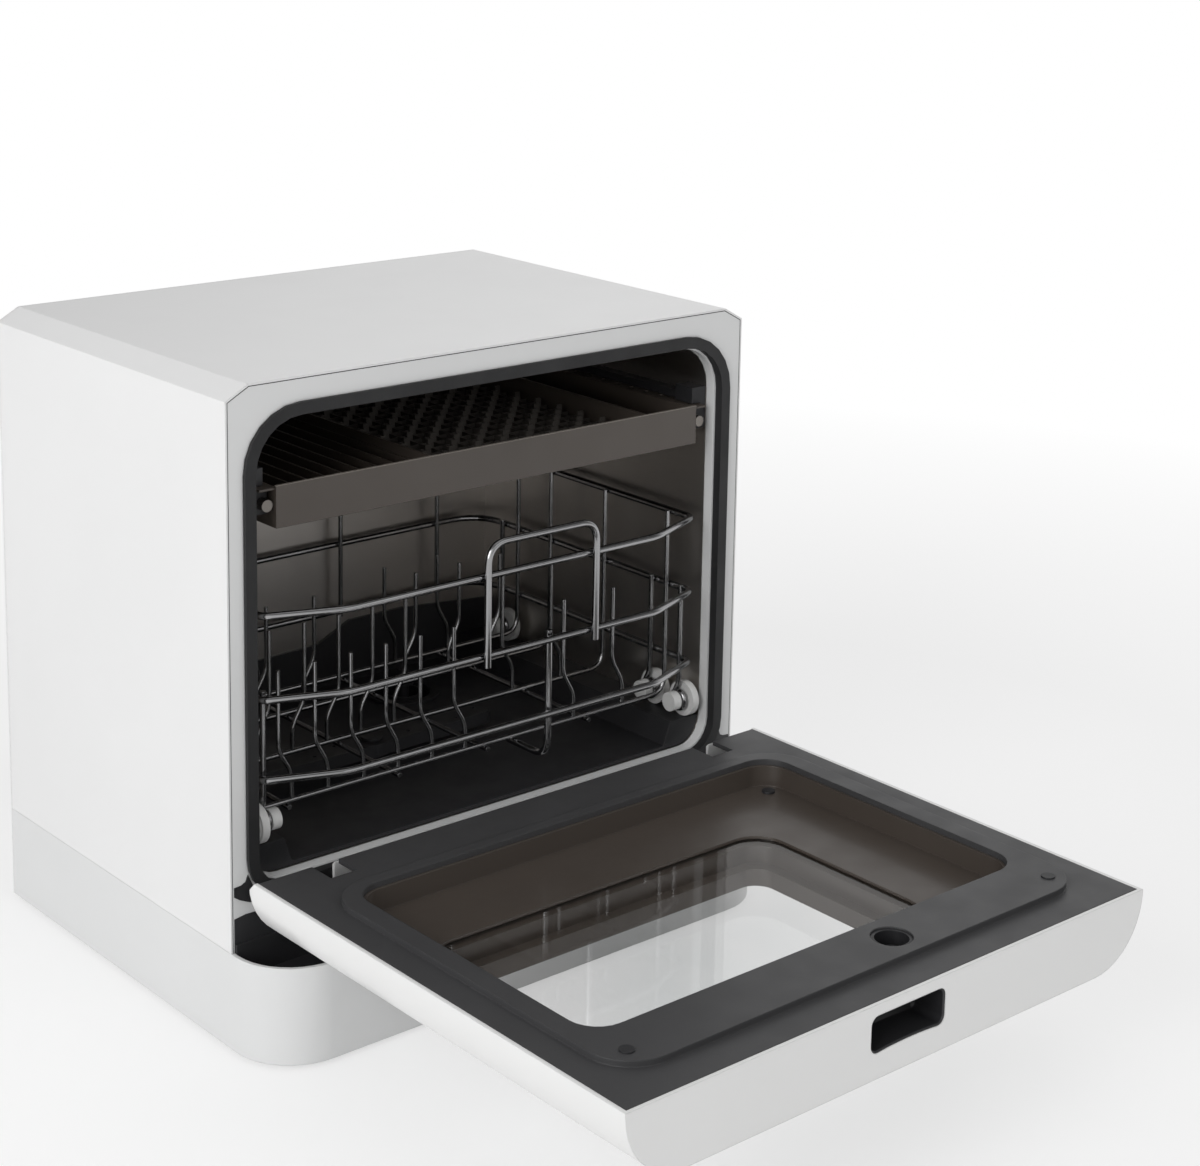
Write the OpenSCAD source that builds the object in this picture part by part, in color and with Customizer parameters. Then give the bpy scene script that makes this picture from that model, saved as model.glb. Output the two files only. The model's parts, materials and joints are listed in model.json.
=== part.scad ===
// Countertop dishwasher with a drop-down door, a wheeled wire basket and a
// pull-out cutlery tray. Front faces -Y, +X is to the right, +Z is up and the
// counter is at z = 0. The door is drawn open, with basket and tray pushed in.

/* [Cabinet] */
// Width of the machine over its side panels
body_w = 430; // [410:5:450]
// Height of the machine from the counter to its top
body_h = 434; // [424:2:450]
// Depth of the cabinet behind its front plane
case_d = 295; // [292:1:320]
// Thickness of the sheet steel casing
sheet = 1.5; // [1:0.1:2.5]
// Width of the sloped edge along each side of the top
chamfer_w = 16; // [8:1:24]
// Drop of the sloped edge along each side of the top
chamfer_h = 9; // [5:1:14]
// Height of the seam between the base moulding and the casing
base_top = 68; // [64:1:69]
// Wall thickness of the base moulding
base_wall = 2.5; // [2:0.1:3.5]
// Radius of the upright front corners of base and door
corner_r = 44; // [36:1:44]
// Height of the rubber feet
foot_h = 3; // [2:0.5:5]

/* [Front frame and gasket] */
// Thickness of the front frame
frame_t = 12; // [10:1:14]
// Width of the frame on each side of the opening
frame_side = 21.5; // [20:0.5:24]
// Height of the frame above the opening
frame_head = 25.5; // [22:0.5:30]
// Radius of the opening's upper corners
mouth_r = 32; // [26:1:34]
// Radius of the opening's lower corners
mouth_low_r = 20; // [14:1:24]
// Width of the rubber gasket limb
gasket_w = 8; // [6:0.5:9]
// Depth of the gasket groove in the frame
gasket_seat = 4; // [3:0.5:6]

/* [Tub] */
// Wall thickness of the steel tub
tub_wall = 1.5; // [1:0.1:2]
// Space between the tub's rear wall and the back of the cabinet
rear_space = 25; // [23:0.5:28]
// Height of the wheel tracks above the lower edge of the opening
track_step = 20; // [18:0.5:24]
// Width of each wheel track
track_w = 27; // [22:1:30]

/* [Door] */
// Thickness of the door
door_t = 46; // [44.5:0.5:47]
// Gap between the closed door and the front frame
door_gap = 3; // [3:0.5:4]
// Gap between the lower edge of the closed door and the seam of the base
door_rise = 7; // [5:0.5:9]
// Gap between the top of the closed door and the top of the machine
door_top_gap = 3; // [2:0.5:6]
// Wall thickness of the door shell
door_wall = 2.5; // [2:0.1:3]
// Distance of the hinge line behind the outer face of the door
hinge_in = 13; // [12:0.5:14]
// Height of the hinge line above the lower edge of the closed door
hinge_rise = 16; // [14:0.5:18]
// Diameter of the hinge pins
hinge_pin_d = 6; // [5:0.5:7]
// Distance of each hinge from the side of the machine
hinge_inset = 53; // [50:1:70]
// Height of the raised rim on the inner face
rim_h = 4; // [3:0.5:4]
// Width of the plain limb of the rim at the free edge
rim_high = 42; // [34:1:44]
// Depth of the inner pan below the liner plane
pan_in = 15; // [14:0.5:17]
// Width of the pan's floor to the left of the window
window_left = 11; // [9:1:30]
// Width of the pan's floor to the right of the window
window_right = 65; // [30:1:80]
// Height of the pan's floor under the window
window_low = 60; // [40:1:80]
// Height of the pan's floor above the window
window_head = 12; // [9:1:20]
// Thickness of the window panes
pane_t = 2.5; // [2:0.5:3]
// Width of the handle pocket in the free edge
pocket_w = 64; // [50:1:90]
// Depth of the handle pocket
pocket_deep = 24; // [16:1:30]
// Diameter of the push buttons
button_d = 14; // [10:0.5:16]
// Travel of the push buttons
button_travel = 1.2; // [0.8:0.1:2]

/* [Basket] */
// Running gap between the side rails and the tub's walls
basket_gap = 7.5; // [7:0.5:12]
// Length of the basket along its side rails
basket_l = 252; // [246:1:252]
// Distance that the middle of the front rail stands forward
basket_bow = 20; // [10:1:20]
// Gap between the top rail and the tray's floor
basket_headroom = 62; // [50:1:75]
// Height of the bottom wires above the wheel tracks
floor_rise = 14; // [12.5:0.5:18]
// Diameter of the three rails
rail_d = 5; // [4:0.5:5.5]
// Diameter of the cross wires
wire_d = 3.6; // [3:0.1:4.5]
// Diameter of the tines
tine_d = 3; // [2.5:0.1:3.5]
// Spacing of the plate tines
tine_pitch = 28.3; // [24:0.1:30]
// Diameter of the wheel flange
wheel_d = 26; // [22:0.5:28]
// Distance of the handle loop to the right of the basket's middle
handle_x = 24; // [0:1:30]

/* [Cutlery tray] */
// Thickness of the runners outside the tray's flanges
guide_wall = 5.5; // [4:0.5:8]
// Space between the tray's rear wall and the tub's rear wall
tray_rear_gap = 35; // [30:1:50]
// Distance of the tray's upper edge below the top of the opening
tray_drop = 44.5; // [40:0.5:50]
// Height of the tray walls
tray_wall_h = 22; // [18:1:30]
// Thickness of the tray sheet
tray_sheet = 1.5; // [1:0.1:2]
// Width of the slotted flange along each side
tray_flange = 11; // [9.5:0.5:11]

/* [Hoses] */
// Diameter of the corrugated drain hose
drain_d = 22; // [16:1:26]
// Diameter of the clear inlet tube
inlet_d = 8; // [6:0.1:10]

/* [Pose] */
// Angle of the door, 90 is open and 0 is closed
door_open = 90; // [0:1:90]
// Distance that the basket is pulled out
basket_out = 0; // [0:1:265]
// Distance that the tray is pulled out
tray_out = 0; // [0:1:171]

/* [Hidden] */

// Fits and small constants shared by several pieces
fit = 0.2;
run_gap = 0.5;
weld_gap = 0.1;
face_gap = 0.3;
big = 1000;

// Cabinet
half_w = body_w / 2;
door_y1 = -door_gap;
door_y0 = door_y1 - door_t;
base_front = -door_y0;
door_z0 = base_top + door_rise;
hinge_y = door_y0 + hinge_in;
hinge_z = door_z0 + hinge_rise;
hinge_x = half_w - hinge_inset;
tub_back = case_d - rear_space;

// The open door lies level, with its rim flush with the wheel tracks
track_z = hinge_z + door_y1 - hinge_y + rim_h;
mouth_z0 = track_z - track_step;
mouth_z1 = body_h - frame_head;
mouth_w = body_w - 2 * frame_side;
gasket_lip = 1.5;
gasket_reach = gasket_lip + gasket_w;
gasket_z0 = mouth_z0 - gasket_reach;
tub_half = mouth_w / 2;
tub_floor_t = 3;
tub_floor_z = mouth_z0 + tub_floor_t;
track_foot = tub_half - track_w - 6;
upstand_t = 2.4;
upstand_y = tub_back - face_gap - upstand_t;
toe_z = base_top - 16;
toe_t = 2;

// Sump, filter and spray arm in the tub's floor
sump_deep = 33;
sump_z = tub_floor_z - sump_deep;
filter_x = 75;
filter_y = tub_back - 52;
filter_d = 46;
filter_lip = 5;
mesh_d = 30;
mesh_wall = 2;
knob_d = 16;
hub_x = -20;
hub_y = 125;
hub_d = 16;
hub_bore = 6;
arm_reach = hub_y - frame_t - 8;
arm_h = 9;
arm_tip_r = 9;
spigot_d = 10;
collar_t = 2;
arm_z0 = tub_floor_z + 6;

// Drying vent and fan on the rear wall
vent_x = tub_half - 43.5;
vent_z = mouth_z1 - 90.5;
vent_d = 50;
vent_w = 64;
vent_h = 66;
vent_t = 12;
fan_w = 100;
fan_h = 60;

// Hose fittings on the back
valve_w = 32;
valve_h = 28;
inlet_x = half_w - 40;
inlet_z = mouth_z0 - tub_wall - run_gap - valve_h / 2;
inlet_seat = 18;
drain_x = half_w - 85;
drain_z = 44;
drain_seat = 20;
drain_bore = 11;
flange_t = 3;

// Pumps and heater on the deck of the base
base_deck = foot_h + base_wall;
pump_z = 48;
pump_d = 62;
pump_l = 70;
volute_d = pump_d + 12;
volute_t = 16;
pump_foot_w = 40;
drain_motor_d = 44;
drain_motor_l = 50;
drain_foot_w = 30;
heater_x = -half_w + 105;
heater_z = 44;
heater_d = 36;
heater_y0 = 70;
heater_l = 140;

// Door
door_z1 = body_h - door_top_gap;
door_w = body_w - 2;
liner_t = 3;
rim_w = mouth_w - 3;
rim_z0 = mouth_z0 + 15;
rim_z1 = mouth_z1 - 4.5;
rim_side = 14;
rim_low = 9;
pan_t = 2;
pan_y = door_y1 - pan_in;
pan_z0 = rim_z0 + rim_low;
pan_z1 = rim_z1 - rim_high;
pan_half = rim_w / 2 - rim_side;
pan_r = mouth_r - 12;
window_w = 2 * pan_half - window_left - window_right;
window_x = (window_left - window_right) / 2;
window_z0 = pan_z0 + window_low;
window_z1 = pan_z1 - window_head;
vent_hole_x = 36;
vent_hole_z = (pan_z1 + rim_z1) / 2;
vent_hole_d = 26;
window_r = 22;
pane_lap = 5;
outer_in = 8;
panel_w = 220;
panel_h = 34;
panel_lip = 1.5;
panel_z = (window_z1 + door_z1) / 2 + 6;
arm_t = 4;
cheek_t = 2.5;
cheek_in = arm_t / 2 + 2.5;
boss_r = 8;

// Tray, drawn pushed in
tray_y0 = 4;
tray_y1 = tub_back - tray_rear_gap;
tray_l = tray_y1 - tray_y0;
tray_half = tub_half - guide_wall - run_gap - tray_flange;
tray_top_z = mouth_z1 - tray_drop;
tray_z0 = tray_top_z - tray_wall_h;
tray_split = [-0.28 * tray_half, 0.79 * tray_half];
rod_d = 4;
rod_x = tray_half + 5.2;
rod_z = tray_z0 + tray_wall_h / 2;
rod_end = tray_l - 19;
block_y0 = frame_t + 1;
block_y1 = block_y0 + 18;
bolt_d = 8;

// Basket, drawn pushed in
basket_rear = tub_back - 6;
basket_front = basket_rear - basket_l;
basket_half = tub_half - basket_gap - rail_d / 2;
floor_wire_z = track_z + floor_rise;
rail_top_z = tray_z0 - basket_headroom;
basket_h = rail_top_z - floor_wire_z;
rail_mid_z = floor_wire_z + 0.6 * basket_h;
rail_low_z = floor_wire_z + 0.21 * basket_h;
bow_run = 52;
rear_bend = 34;
post_y = [basket_front + 22, basket_front + 92, basket_front + 156, basket_front + 196];
axle_z = track_z + wheel_d / 2 + face_gap;
wheel_y = [basket_front + 6, basket_front + 38, basket_rear - 36];
wheel_flange_t = 6.5;
wheel_neck_t = 6;
wheel_hub_t = 7;
neck_d = 8;
leg_d = 4;
leg_x = basket_half - rail_d / 2 - leg_d / 2 - weld_gap;
wheel_out = leg_x + wheel_neck_t / 2 + wheel_flange_t;

// The reference point lies under the middle of the open machine
reach = -(hinge_y - (door_z1 - hinge_z));
fitting_out = 22;
shift_y = (reach - (case_d + fitting_out)) / 2;

white = "#f1f1f0";
grey_trim = "#c9cbcc";
dark = "#33353a";
steel = "#8d8a86";
bronze = "#5d554e";
chrome = "#bfc2c6";

// Points along an arc about (cx, cy)
function arc(cx, cy, r, from, to, steps = 8) =
    [for (i = [0 : steps]) let (a = from + (to - from) * i / steps)
        [cx + r * cos(a), cy + r * sin(a)]];

// Outline of a rectangle with round corners, centred on its middle
function round_rect(w, h, r, steps = 6) = concat(
    arc(w / 2 - r, h / 2 - r, r, 0, 90, steps),
    arc(-w / 2 + r, h / 2 - r, r, 90, 180, steps),
    arc(-w / 2 + r, -h / 2 + r, r, 180, 270, steps),
    arc(w / 2 - r, -h / 2 + r, r, 270, 360, steps));

function unit(v) = v / norm(v);

// Rounds the inner corners of a path with short curves
function bend(points, cut, steps = 3) = concat(
    [points[0]],
    [for (i = [1 : len(points) - 2], k = [0 : steps])
        let (
            p = points[i],
            a = p + unit(points[i - 1] - p) * cut,
            b = p + unit(points[i + 1] - p) * cut,
            t = k / steps
        )
        a * (1 - t) * (1 - t) + p * 2 * t * (1 - t) + b * t * t],
    [points[len(points) - 1]]);

// Round bar of diameter d swept along a path; normal is the path's up direction
module sweep(path, d, normal, closed = false, sides = 6) {
    n = len(path);
    last = n - 1;
    rings = [for (i = [0 : last])
        let (
            before = closed ? path[(i + last) % n] : path[max(i - 1, 0)],
            after = closed ? path[(i + 1) % n] : path[min(i + 1, last)],
            ahead = norm(after - path[i]) > 0 ? unit(after - path[i]) : [0, 0, 0],
            behind = norm(path[i] - before) > 0 ? unit(path[i] - before) : [0, 0, 0],
            along = unit(ahead + behind),
            side = unit(cross(along, normal)),
            up = cross(side, along),
            leg = norm(ahead) > 0 ? ahead : behind,
            grow = 1 / max(0.5, abs(along * leg))
        )
        [for (k = [0 : sides - 1])
            let (a = 360 * (k + 0.5) / sides)
            path[i] + up * (d / 2 * sin(a)) + side * (d / 2 * cos(a) * grow)]];
    points = [for (ring = rings, p = ring) p];
    spans = closed ? n : n - 1;
    walls = [for (i = [0 : spans - 1], k = [0 : sides - 1])
        let (j = (i + 1) % n, m = (k + 1) % sides)
        [i * sides + k, i * sides + m, j * sides + m, j * sides + k]];
    ends = closed ? [] : [
        [for (k = [sides - 1 : -1 : 0]) k],
        [for (k = [0 : sides - 1]) last * sides + k]
    ];
    polyhedron(points, concat(walls, ends), convexity = 10);
}

// Flat plate in the XZ plane, from y0 to y1
module plate_xz(points, y0, y1) {
    translate([0, y1, 0]) rotate([90, 0, 0]) linear_extrude(y1 - y0) polygon(points);
}

// Rectangle with round corners in the XZ plane, from y0 to y1
module rect_xz(w, z0, z1, r, y0, y1) {
    translate([0, 0, (z0 + z1) / 2]) plate_xz(round_rect(w, z1 - z0, r), y0, y1);
}

// Block of the front opening's outline grown by g, from y0 to y1
module mouth_xz(g, y0, y1) {
    h = mouth_w / 2 + g;
    z0 = mouth_z0 - g;
    z1 = mouth_z1 + g;
    r = mouth_r + g;
    q = mouth_low_r + g;
    plate_xz(concat(
        arc(h - r, z1 - r, r, 0, 90, 6),
        arc(-h + r, z1 - r, r, 90, 180, 6),
        arc(-h + q, z0 + q, q, 180, 270, 6),
        arc(h - q, z0 + q, q, 270, 360, 6)), y0, y1);
}

// Cylinder along Y from y0 to y1
module rod_y(x, z, d, y0, y1, fn = 32) {
    translate([x, y1, z]) rotate([90, 0, 0]) cylinder(d = d, h = y1 - y0, $fn = fn);
}

// Cylinder along X from x0 to x1
module rod_x(y, z, d, x0, x1, fn = 32) {
    translate([x0, y, z]) rotate([0, 90, 0]) cylinder(d = d, h = x1 - x0, $fn = fn);
}

module box(x0, x1, y0, y1, z0, z1) {
    translate([x0, y0, z0]) cube([x1 - x0, y1 - y0, z1 - z0]);
}

module both_sides() {
    children();
    mirror([1, 0, 0]) children();
}

module placed() {
    translate([0, shift_y, 0]) children();
}

module door_place() {
    placed() translate([0, hinge_y, hinge_z]) rotate([door_open, 0, 0])
        translate([0, -hinge_y, -hinge_z]) children();
}

module basket_place() {
    placed() translate([0, -basket_out, 0]) children();
}

module tray_place() {
    placed() translate([0, -tray_out, 0]) children();
}

// Outline of the casing seen from the front, inset by t
function casing_outline(t, z0) = [
    [-half_w + t, z0],
    [half_w - t, z0],
    [half_w - t, body_h - chamfer_h - t * 0.6],
    [half_w - chamfer_w - t * 0.6, body_h - t],
    [-half_w + chamfer_w + t * 0.6, body_h - t],
    [-half_w + t, body_h - chamfer_h - t * 0.6]
];

// Plan outline of the base, inset by t, from its front to y1
function base_outline(t, y1) = concat(
    arc(-half_w + corner_r, -base_front + corner_r, corner_r - t, 180, 270, 10),
    arc(half_w - corner_r, -base_front + corner_r, corner_r - t, 270, 360, 10),
    [[half_w - t, y1], [-half_w + t, y1]]);

// Plan outline of the door, inset by t, with its flat side at y1
function door_outline(t, y1) =
    let (h = door_w / 2, r = corner_r)
    concat(
        arc(-h + r, door_y0 + r, r - t, 180, 270, 10),
        arc(h - r, door_y0 + r, r - t, 270, 360, 10),
        [[h - t, y1], [-h + t, y1]]);

module side_casing() color(white) placed()
    difference() {
        plate_xz(casing_outline(0, base_top), 0, case_d - sheet);
        plate_xz(casing_outline(sheet, base_top - 1), -1, case_d);
    }

grille_n = 10;
grille_pitch = 18;
grille_slot = 12;
grille_h = 40;
grille_drop = 54;
module back_panel() color(white) placed()
    difference() {
        plate_xz(casing_outline(0, base_top), case_d - sheet, case_d);
        for (i = [0 : grille_n - 1])
            translate([grille_pitch * (i - (grille_n - 1) / 2), 0, 0])
                box(-grille_slot / 2, grille_slot / 2, case_d - 2 * sheet, case_d + 1,
                    body_h - grille_drop - grille_h, body_h - grille_drop);
        rod_y(inlet_x, inlet_z, inlet_seat + 2 * fit, case_d - 2 * sheet, case_d + 1);
    }

// The base is an open tray with cooling slots in its floor
louvre_n = 8;
louvre_pitch = 24;
louvre_w = 16;
louvre_l = 60;
louvre_rear = 45;
module base_moulding() color(grey_trim) placed()
    difference() {
        translate([0, 0, foot_h]) linear_extrude(base_top - foot_h)
            polygon(base_outline(0, case_d));
        translate([0, 0, foot_h + base_wall]) linear_extrude(base_top)
            polygon(base_outline(base_wall, case_d - base_wall));
        rod_y(drain_x, drain_z, drain_seat + 2 * fit, case_d - 2 * base_wall, case_d + 1);
        for (i = [0 : louvre_n - 1])
            translate([louvre_pitch * (i - (louvre_n - 1) / 2), case_d - louvre_rear, 0])
                box(-louvre_w / 2, louvre_w / 2, -louvre_l, 0, foot_h - 1, base_deck + 1);
    }

// Black cover in the front of the base, under the door's lower edge
module toe_cover() color(dark) placed() {
    edge = half_w - base_wall - fit;
    translate([0, 0, toe_z - toe_t]) linear_extrude(toe_t)
        polygon(base_outline(base_wall + fit, -face_gap));
    box(-edge, edge, -toe_t - face_gap, -face_gap, toe_z - toe_t, door_z0 - 1);
}

module front_frame() color(grey_trim) placed()
    difference() {
        plate_xz(casing_outline(sheet, base_top), 0, frame_t);
        mouth_xz(0, -1, frame_t + 1);
        mouth_xz(gasket_reach, -1, gasket_seat);
    }

module door_gasket() color(dark) placed()
    difference() {
        mouth_xz(gasket_reach, -door_gap + face_gap, gasket_seat);
        mouth_xz(gasket_lip, -door_gap - 1, gasket_seat + 1);
    }

module floor_holes() {
    translate([filter_x, filter_y, mouth_z0 - 10]) cylinder(d = filter_d + 2 * fit, h = 20, $fn = 48);
    translate([hub_x, hub_y, mouth_z0 - 10]) cylinder(d = hub_d + 2 * fit, h = 20, $fn = 32);
}

module tub_shell() color(steel) placed()
    difference() {
        mouth_xz(tub_wall, frame_t, tub_back + tub_wall);
        mouth_xz(0, frame_t - 1, tub_back);
        floor_holes();
        rod_y(vent_x, vent_z, vent_d + 2 * fit, tub_back - 5, tub_back + 5);
    }

// Black moulding over the tub's bottom, with a raised track for the wheels on each side
module floor_moulding()
    difference() {
        intersection() {
            union() {
                box(-tub_half, tub_half, frame_t + 1, upstand_y - weld_gap, mouth_z0, tub_floor_z);
                both_sides() plate_xz([
                    [tub_half, mouth_z0], [tub_half, track_z], [tub_half - track_w, track_z],
                    [track_foot, tub_floor_z], [track_foot, mouth_z0]
                ], frame_t + 1, upstand_y - weld_gap);
            }
            mouth_xz(-face_gap, frame_t, tub_back);
        }
        floor_holes();
    }

// Wavy skirting along the foot of the rear wall, behind the floor moulding
module rear_skirting()
    intersection() {
        plate_xz([
            [-tub_half, mouth_z0], [tub_half, mouth_z0], [tub_half, track_z + 24], [110, track_z + 32],
            [60, track_z + 32], [30, track_z + 18], [-tub_half, track_z + 14]
        ], upstand_y, upstand_y + upstand_t);
        mouth_xz(-face_gap, frame_t, tub_back);
    }

module tub_floor() color(dark) placed() {
    floor_moulding();
    rear_skirting();
}

// Sump cup with a mesh cylinder and its turning knob
module sump_filter() color(dark) placed() translate([filter_x, filter_y, 0]) {
    mesh_z = sump_z + collar_t;
    difference() {
        union() {
            translate([0, 0, sump_z]) cylinder(d = filter_d, h = sump_deep, $fn = 48);
            translate([0, 0, tub_floor_z]) cylinder(d = filter_d + 2 * filter_lip, h = collar_t, $fn = 48);
        }
        translate([0, 0, mesh_z]) cylinder(d = filter_d - 2 * mesh_wall, h = 2 * sump_deep, $fn = 48);
    }
    difference() {
        translate([0, 0, mesh_z]) cylinder(d = mesh_d, h = sump_deep, $fn = 32);
        translate([0, 0, mesh_z + 2 * collar_t])
            cylinder(d = mesh_d - 2 * mesh_wall, h = 2 * sump_deep, $fn = 32);
        for (a = [0 : 45 : 315], z = [mesh_z + 6, mesh_z + 18])
            rotate([0, 0, a]) translate([mesh_d / 2 - 5, -2, z]) cube([8, 4, 8]);
    }
    translate([0, 0, mesh_z + 2 * collar_t])
        cylinder(d = 9, h = track_z + 3 - mesh_z - 2 * collar_t, $fn = 24);
    translate([0, 0, tub_floor_z + 8]) cylinder(d = knob_d, h = 3, $fn = 32);
}

module spray_hub() color(dark) placed() translate([hub_x, hub_y, 0])
    difference() {
        union() {
            translate([0, 0, sump_z + 6]) cylinder(d = hub_d, h = sump_deep - 6, $fn = 32);
            translate([0, 0, tub_floor_z]) cylinder(d = 2 * hub_d - 2, h = collar_t + 0.5, $fn = 32);
            translate([0, 0, tub_floor_z])
                cylinder(d = spigot_d, h = arm_z0 + arm_h + collar_t - tub_floor_z, $fn = 32);
            translate([0, 0, tub_floor_z]) cylinder(d = hub_d, h = arm_z0 - face_gap - tub_floor_z, $fn = 32);
            translate([0, 0, arm_z0 + arm_h + face_gap]) cylinder(d = hub_d, h = collar_t, $fn = 32);
        }
        translate([0, 0, sump_z]) cylinder(d = hub_bore, h = arm_z0 + 4 - sump_z, $fn = 24);
    }

// Outline of one half of the spray arm, widest at the hub, with a round tip
arm_waist = 13;
arm_bend = 60;
module arm_half() {
    tip = arm_reach - arm_tip_r;
    polygon([[0, -arm_waist], [arm_bend, -arm_waist + 2], [tip, 0.1 - arm_tip_r], [tip, arm_tip_r - 0.1],
        [arm_bend, arm_waist - 1], [0, arm_waist]]);
    translate([tip, 0]) circle(r = arm_tip_r, $fn = 32);
}

module spray_arm() color(dark) placed() translate([hub_x, hub_y, arm_z0])
    difference() {
        union() {
            cylinder(d = 2 * arm_waist + 2, h = arm_h, $fn = 40);
            for (s = [0, 180]) rotate([0, 0, s]) linear_extrude(arm_h) arm_half();
        }
        translate([0, 0, -1]) cylinder(d = spigot_d + 2 * face_gap, h = arm_h + 2, $fn = 32);
        for (s = [0, 180], i = [0 : 3]) rotate([0, 0, s])
            translate([arm_reach - 11 - 21.5 * i, i % 2 == 0 ? 4 : -4, arm_h - 3])
                cylinder(d = 3, h = 4, $fn = 16);
    }

// Runners on the tub walls that hold the tray's flanges and rods
guide_slot_x = tray_half + tray_flange + run_gap;
module tray_guides() color(dark) placed() both_sides() {
    difference() {
        union() {
            box(tray_half + tray_flange - 3, tub_half, block_y1, tub_back - 18,
                tray_top_z - 8, tray_top_z + 6);
            box(tray_half + 1, tub_half, block_y0, block_y1, rod_z - 7, tray_top_z + 12);
        }
        box(tray_half - 5, guide_slot_x, block_y0 - 1, tub_back,
            tray_top_z - tray_sheet - run_gap, tray_top_z + run_gap);
        box(tray_half - 5, tray_half + 4, block_y0 - 1, block_y1 + 1, tray_top_z - 4, tray_top_z + 20);
        rod_y(rod_x, rod_z, rod_d + 2 * run_gap, block_y0 - 1, block_y1 + 1);
    }
}

module drying_vent() color(dark) placed()
    difference() {
        union() {
            translate([vent_x, 0, vent_z + 5])
                plate_xz(round_rect(vent_w, vent_h, 8), tub_back - vent_t, tub_back);
            rod_y(vent_x, vent_z, vent_d, tub_back - 1, tub_back + 4);
        }
        for (i = [0 : 4]) translate([vent_x, tub_back - vent_t, vent_z - 16 + 9 * i])
            box(8 - vent_w / 2, vent_w / 2 - 8, -1, vent_t - 3, 0, 4);
        rod_y(vent_x, vent_z, vent_d - 8, tub_back - 3, tub_back + 5);
    }

module drying_fan() color(dark) placed()
    difference() {
        translate([vent_x - fan_w / 4, 0, vent_z])
            plate_xz(round_rect(fan_w, fan_h, 8), tub_back + 4, case_d - sheet);
        rod_y(vent_x, vent_z, fan_h - 20, tub_back + 3, case_d - 6);
        box(vent_x - 0.8 * fan_w, vent_x - 0.4 * fan_w, tub_back + 8, case_d - 6,
            vent_z - fan_h / 2 + 8, vent_z + fan_h / 2 - 8);
    }

module circulation_pump() color(grey_trim) placed() {
    motor_x = hub_x + pump_foot_w;
    motor_y1 = hub_y + 5;
    riser_z = pump_z + 12;
    rod_y(motor_x, pump_z, pump_d, motor_y1 - pump_l, motor_y1, 48);
    rod_y(motor_x, pump_z, volute_d, motor_y1, motor_y1 + volute_t, 48);
    translate([hub_x, hub_y, riser_z]) cylinder(d = hub_d - 2, h = sump_z + 6 - riser_z, $fn = 32);
    box(hub_x, hub_x + pump_d / 2, hub_y - 6, hub_y + 6, riser_z, riser_z + 12);
    box(motor_x - pump_foot_w / 2, motor_x + pump_foot_w / 2, motor_y1 - pump_l + 6, motor_y1 - 6,
        base_deck, pump_z - 20);
}

module drain_pump() color(dark) placed() {
    motor_x1 = filter_x - 16;
    foot_x = motor_x1 - drain_motor_l / 2;
    rod_x(filter_y, drain_z + 2, drain_motor_d, motor_x1 - drain_motor_l, motor_x1, 40);
    translate([filter_x, filter_y, drain_z - 14])
        cylinder(d = filter_d - 10, h = sump_z - drain_z + 14, $fn = 40);
    rod_y(drain_x, drain_z, 14, filter_y + 8, case_d - base_wall - 1, 24);
    box(filter_x + 10, drain_x + 6, filter_y - 6, filter_y + 10, drain_z - 8, drain_z + 8);
    box(foot_x - drain_foot_w / 2, foot_x + drain_foot_w / 2, filter_y - 14, filter_y + 14,
        base_deck, drain_z - 16);
}

module flow_heater() color(steel) placed() {
    pipe_d = 20;
    pipe_l = 10;
    y1 = heater_y0 + heater_l;
    rod_y(heater_x, heater_z, heater_d, heater_y0 + pipe_l, y1 - pipe_l, 40);
    rod_y(heater_x, heater_z, pipe_d, heater_y0, heater_y0 + pipe_l, 32);
    rod_y(heater_x, heater_z, pipe_d, y1 - pipe_l, y1, 32);
    for (y = [heater_y0 + 25, y1 - 35])
        box(heater_x - 14, heater_x + 14, y, y + 10, base_deck, heater_z - 14);
}

module inlet_valve() color(white) placed() {
    box(inlet_x - valve_w / 2, inlet_x + valve_w / 2, case_d - 60, case_d - 20,
        inlet_z - valve_h / 2, inlet_z + valve_h / 2);
    rod_y(inlet_x, inlet_z, 14, case_d - 20, case_d - 6, 32);
    rod_y(inlet_x, inlet_z, 26, case_d - 6, case_d - sheet, 32);
}

bracket_top = min(hinge_z + boss_r - 1, gasket_z0 - 1);

// Fixed arms that reach forward from the frame to the hinge line
module hinge_brackets() color(dark) placed() both_sides()
    difference() {
        union() {
            box(hinge_x - arm_t / 2, hinge_x + arm_t / 2, hinge_y, -1, hinge_z - boss_r, bracket_top);
            rod_x(hinge_y, hinge_z, 2 * boss_r, hinge_x - arm_t / 2, hinge_x + arm_t / 2, 40);
            box(hinge_x - 8, hinge_x + 8, -2, 0, door_z0, bracket_top);
        }
        rod_x(hinge_y, hinge_z, hinge_pin_d + 2 * fit, hinge_x - arm_t, hinge_x + arm_t, 32);
    }

foot_d = 28;
foot_in = 38;
foot_rear = 30;
module feet() color(dark) placed() both_sides()
    for (y = [foot_in - base_front, case_d - foot_rear])
        translate([half_w - foot_in, y, 0]) cylinder(d = foot_d, h = foot_h, $fn = 32);

module drain_spigot() color(dark) placed()
    difference() {
        union() {
            rod_y(drain_x, drain_z, drain_seat, case_d - base_wall - 1, case_d, 32);
            rod_y(drain_x, drain_z, drain_seat + 10, case_d, case_d + flange_t, 32);
            rod_y(drain_x, drain_z, drain_seat - 4, case_d + flange_t, case_d + fitting_out, 32);
            for (y = [case_d + 7, case_d + 13]) rod_y(drain_x, drain_z, drain_seat - 2, y, y + 2, 32);
        }
        rod_y(drain_x, drain_z, drain_bore, case_d - 10, case_d + fitting_out + 1, 32);
    }

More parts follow.
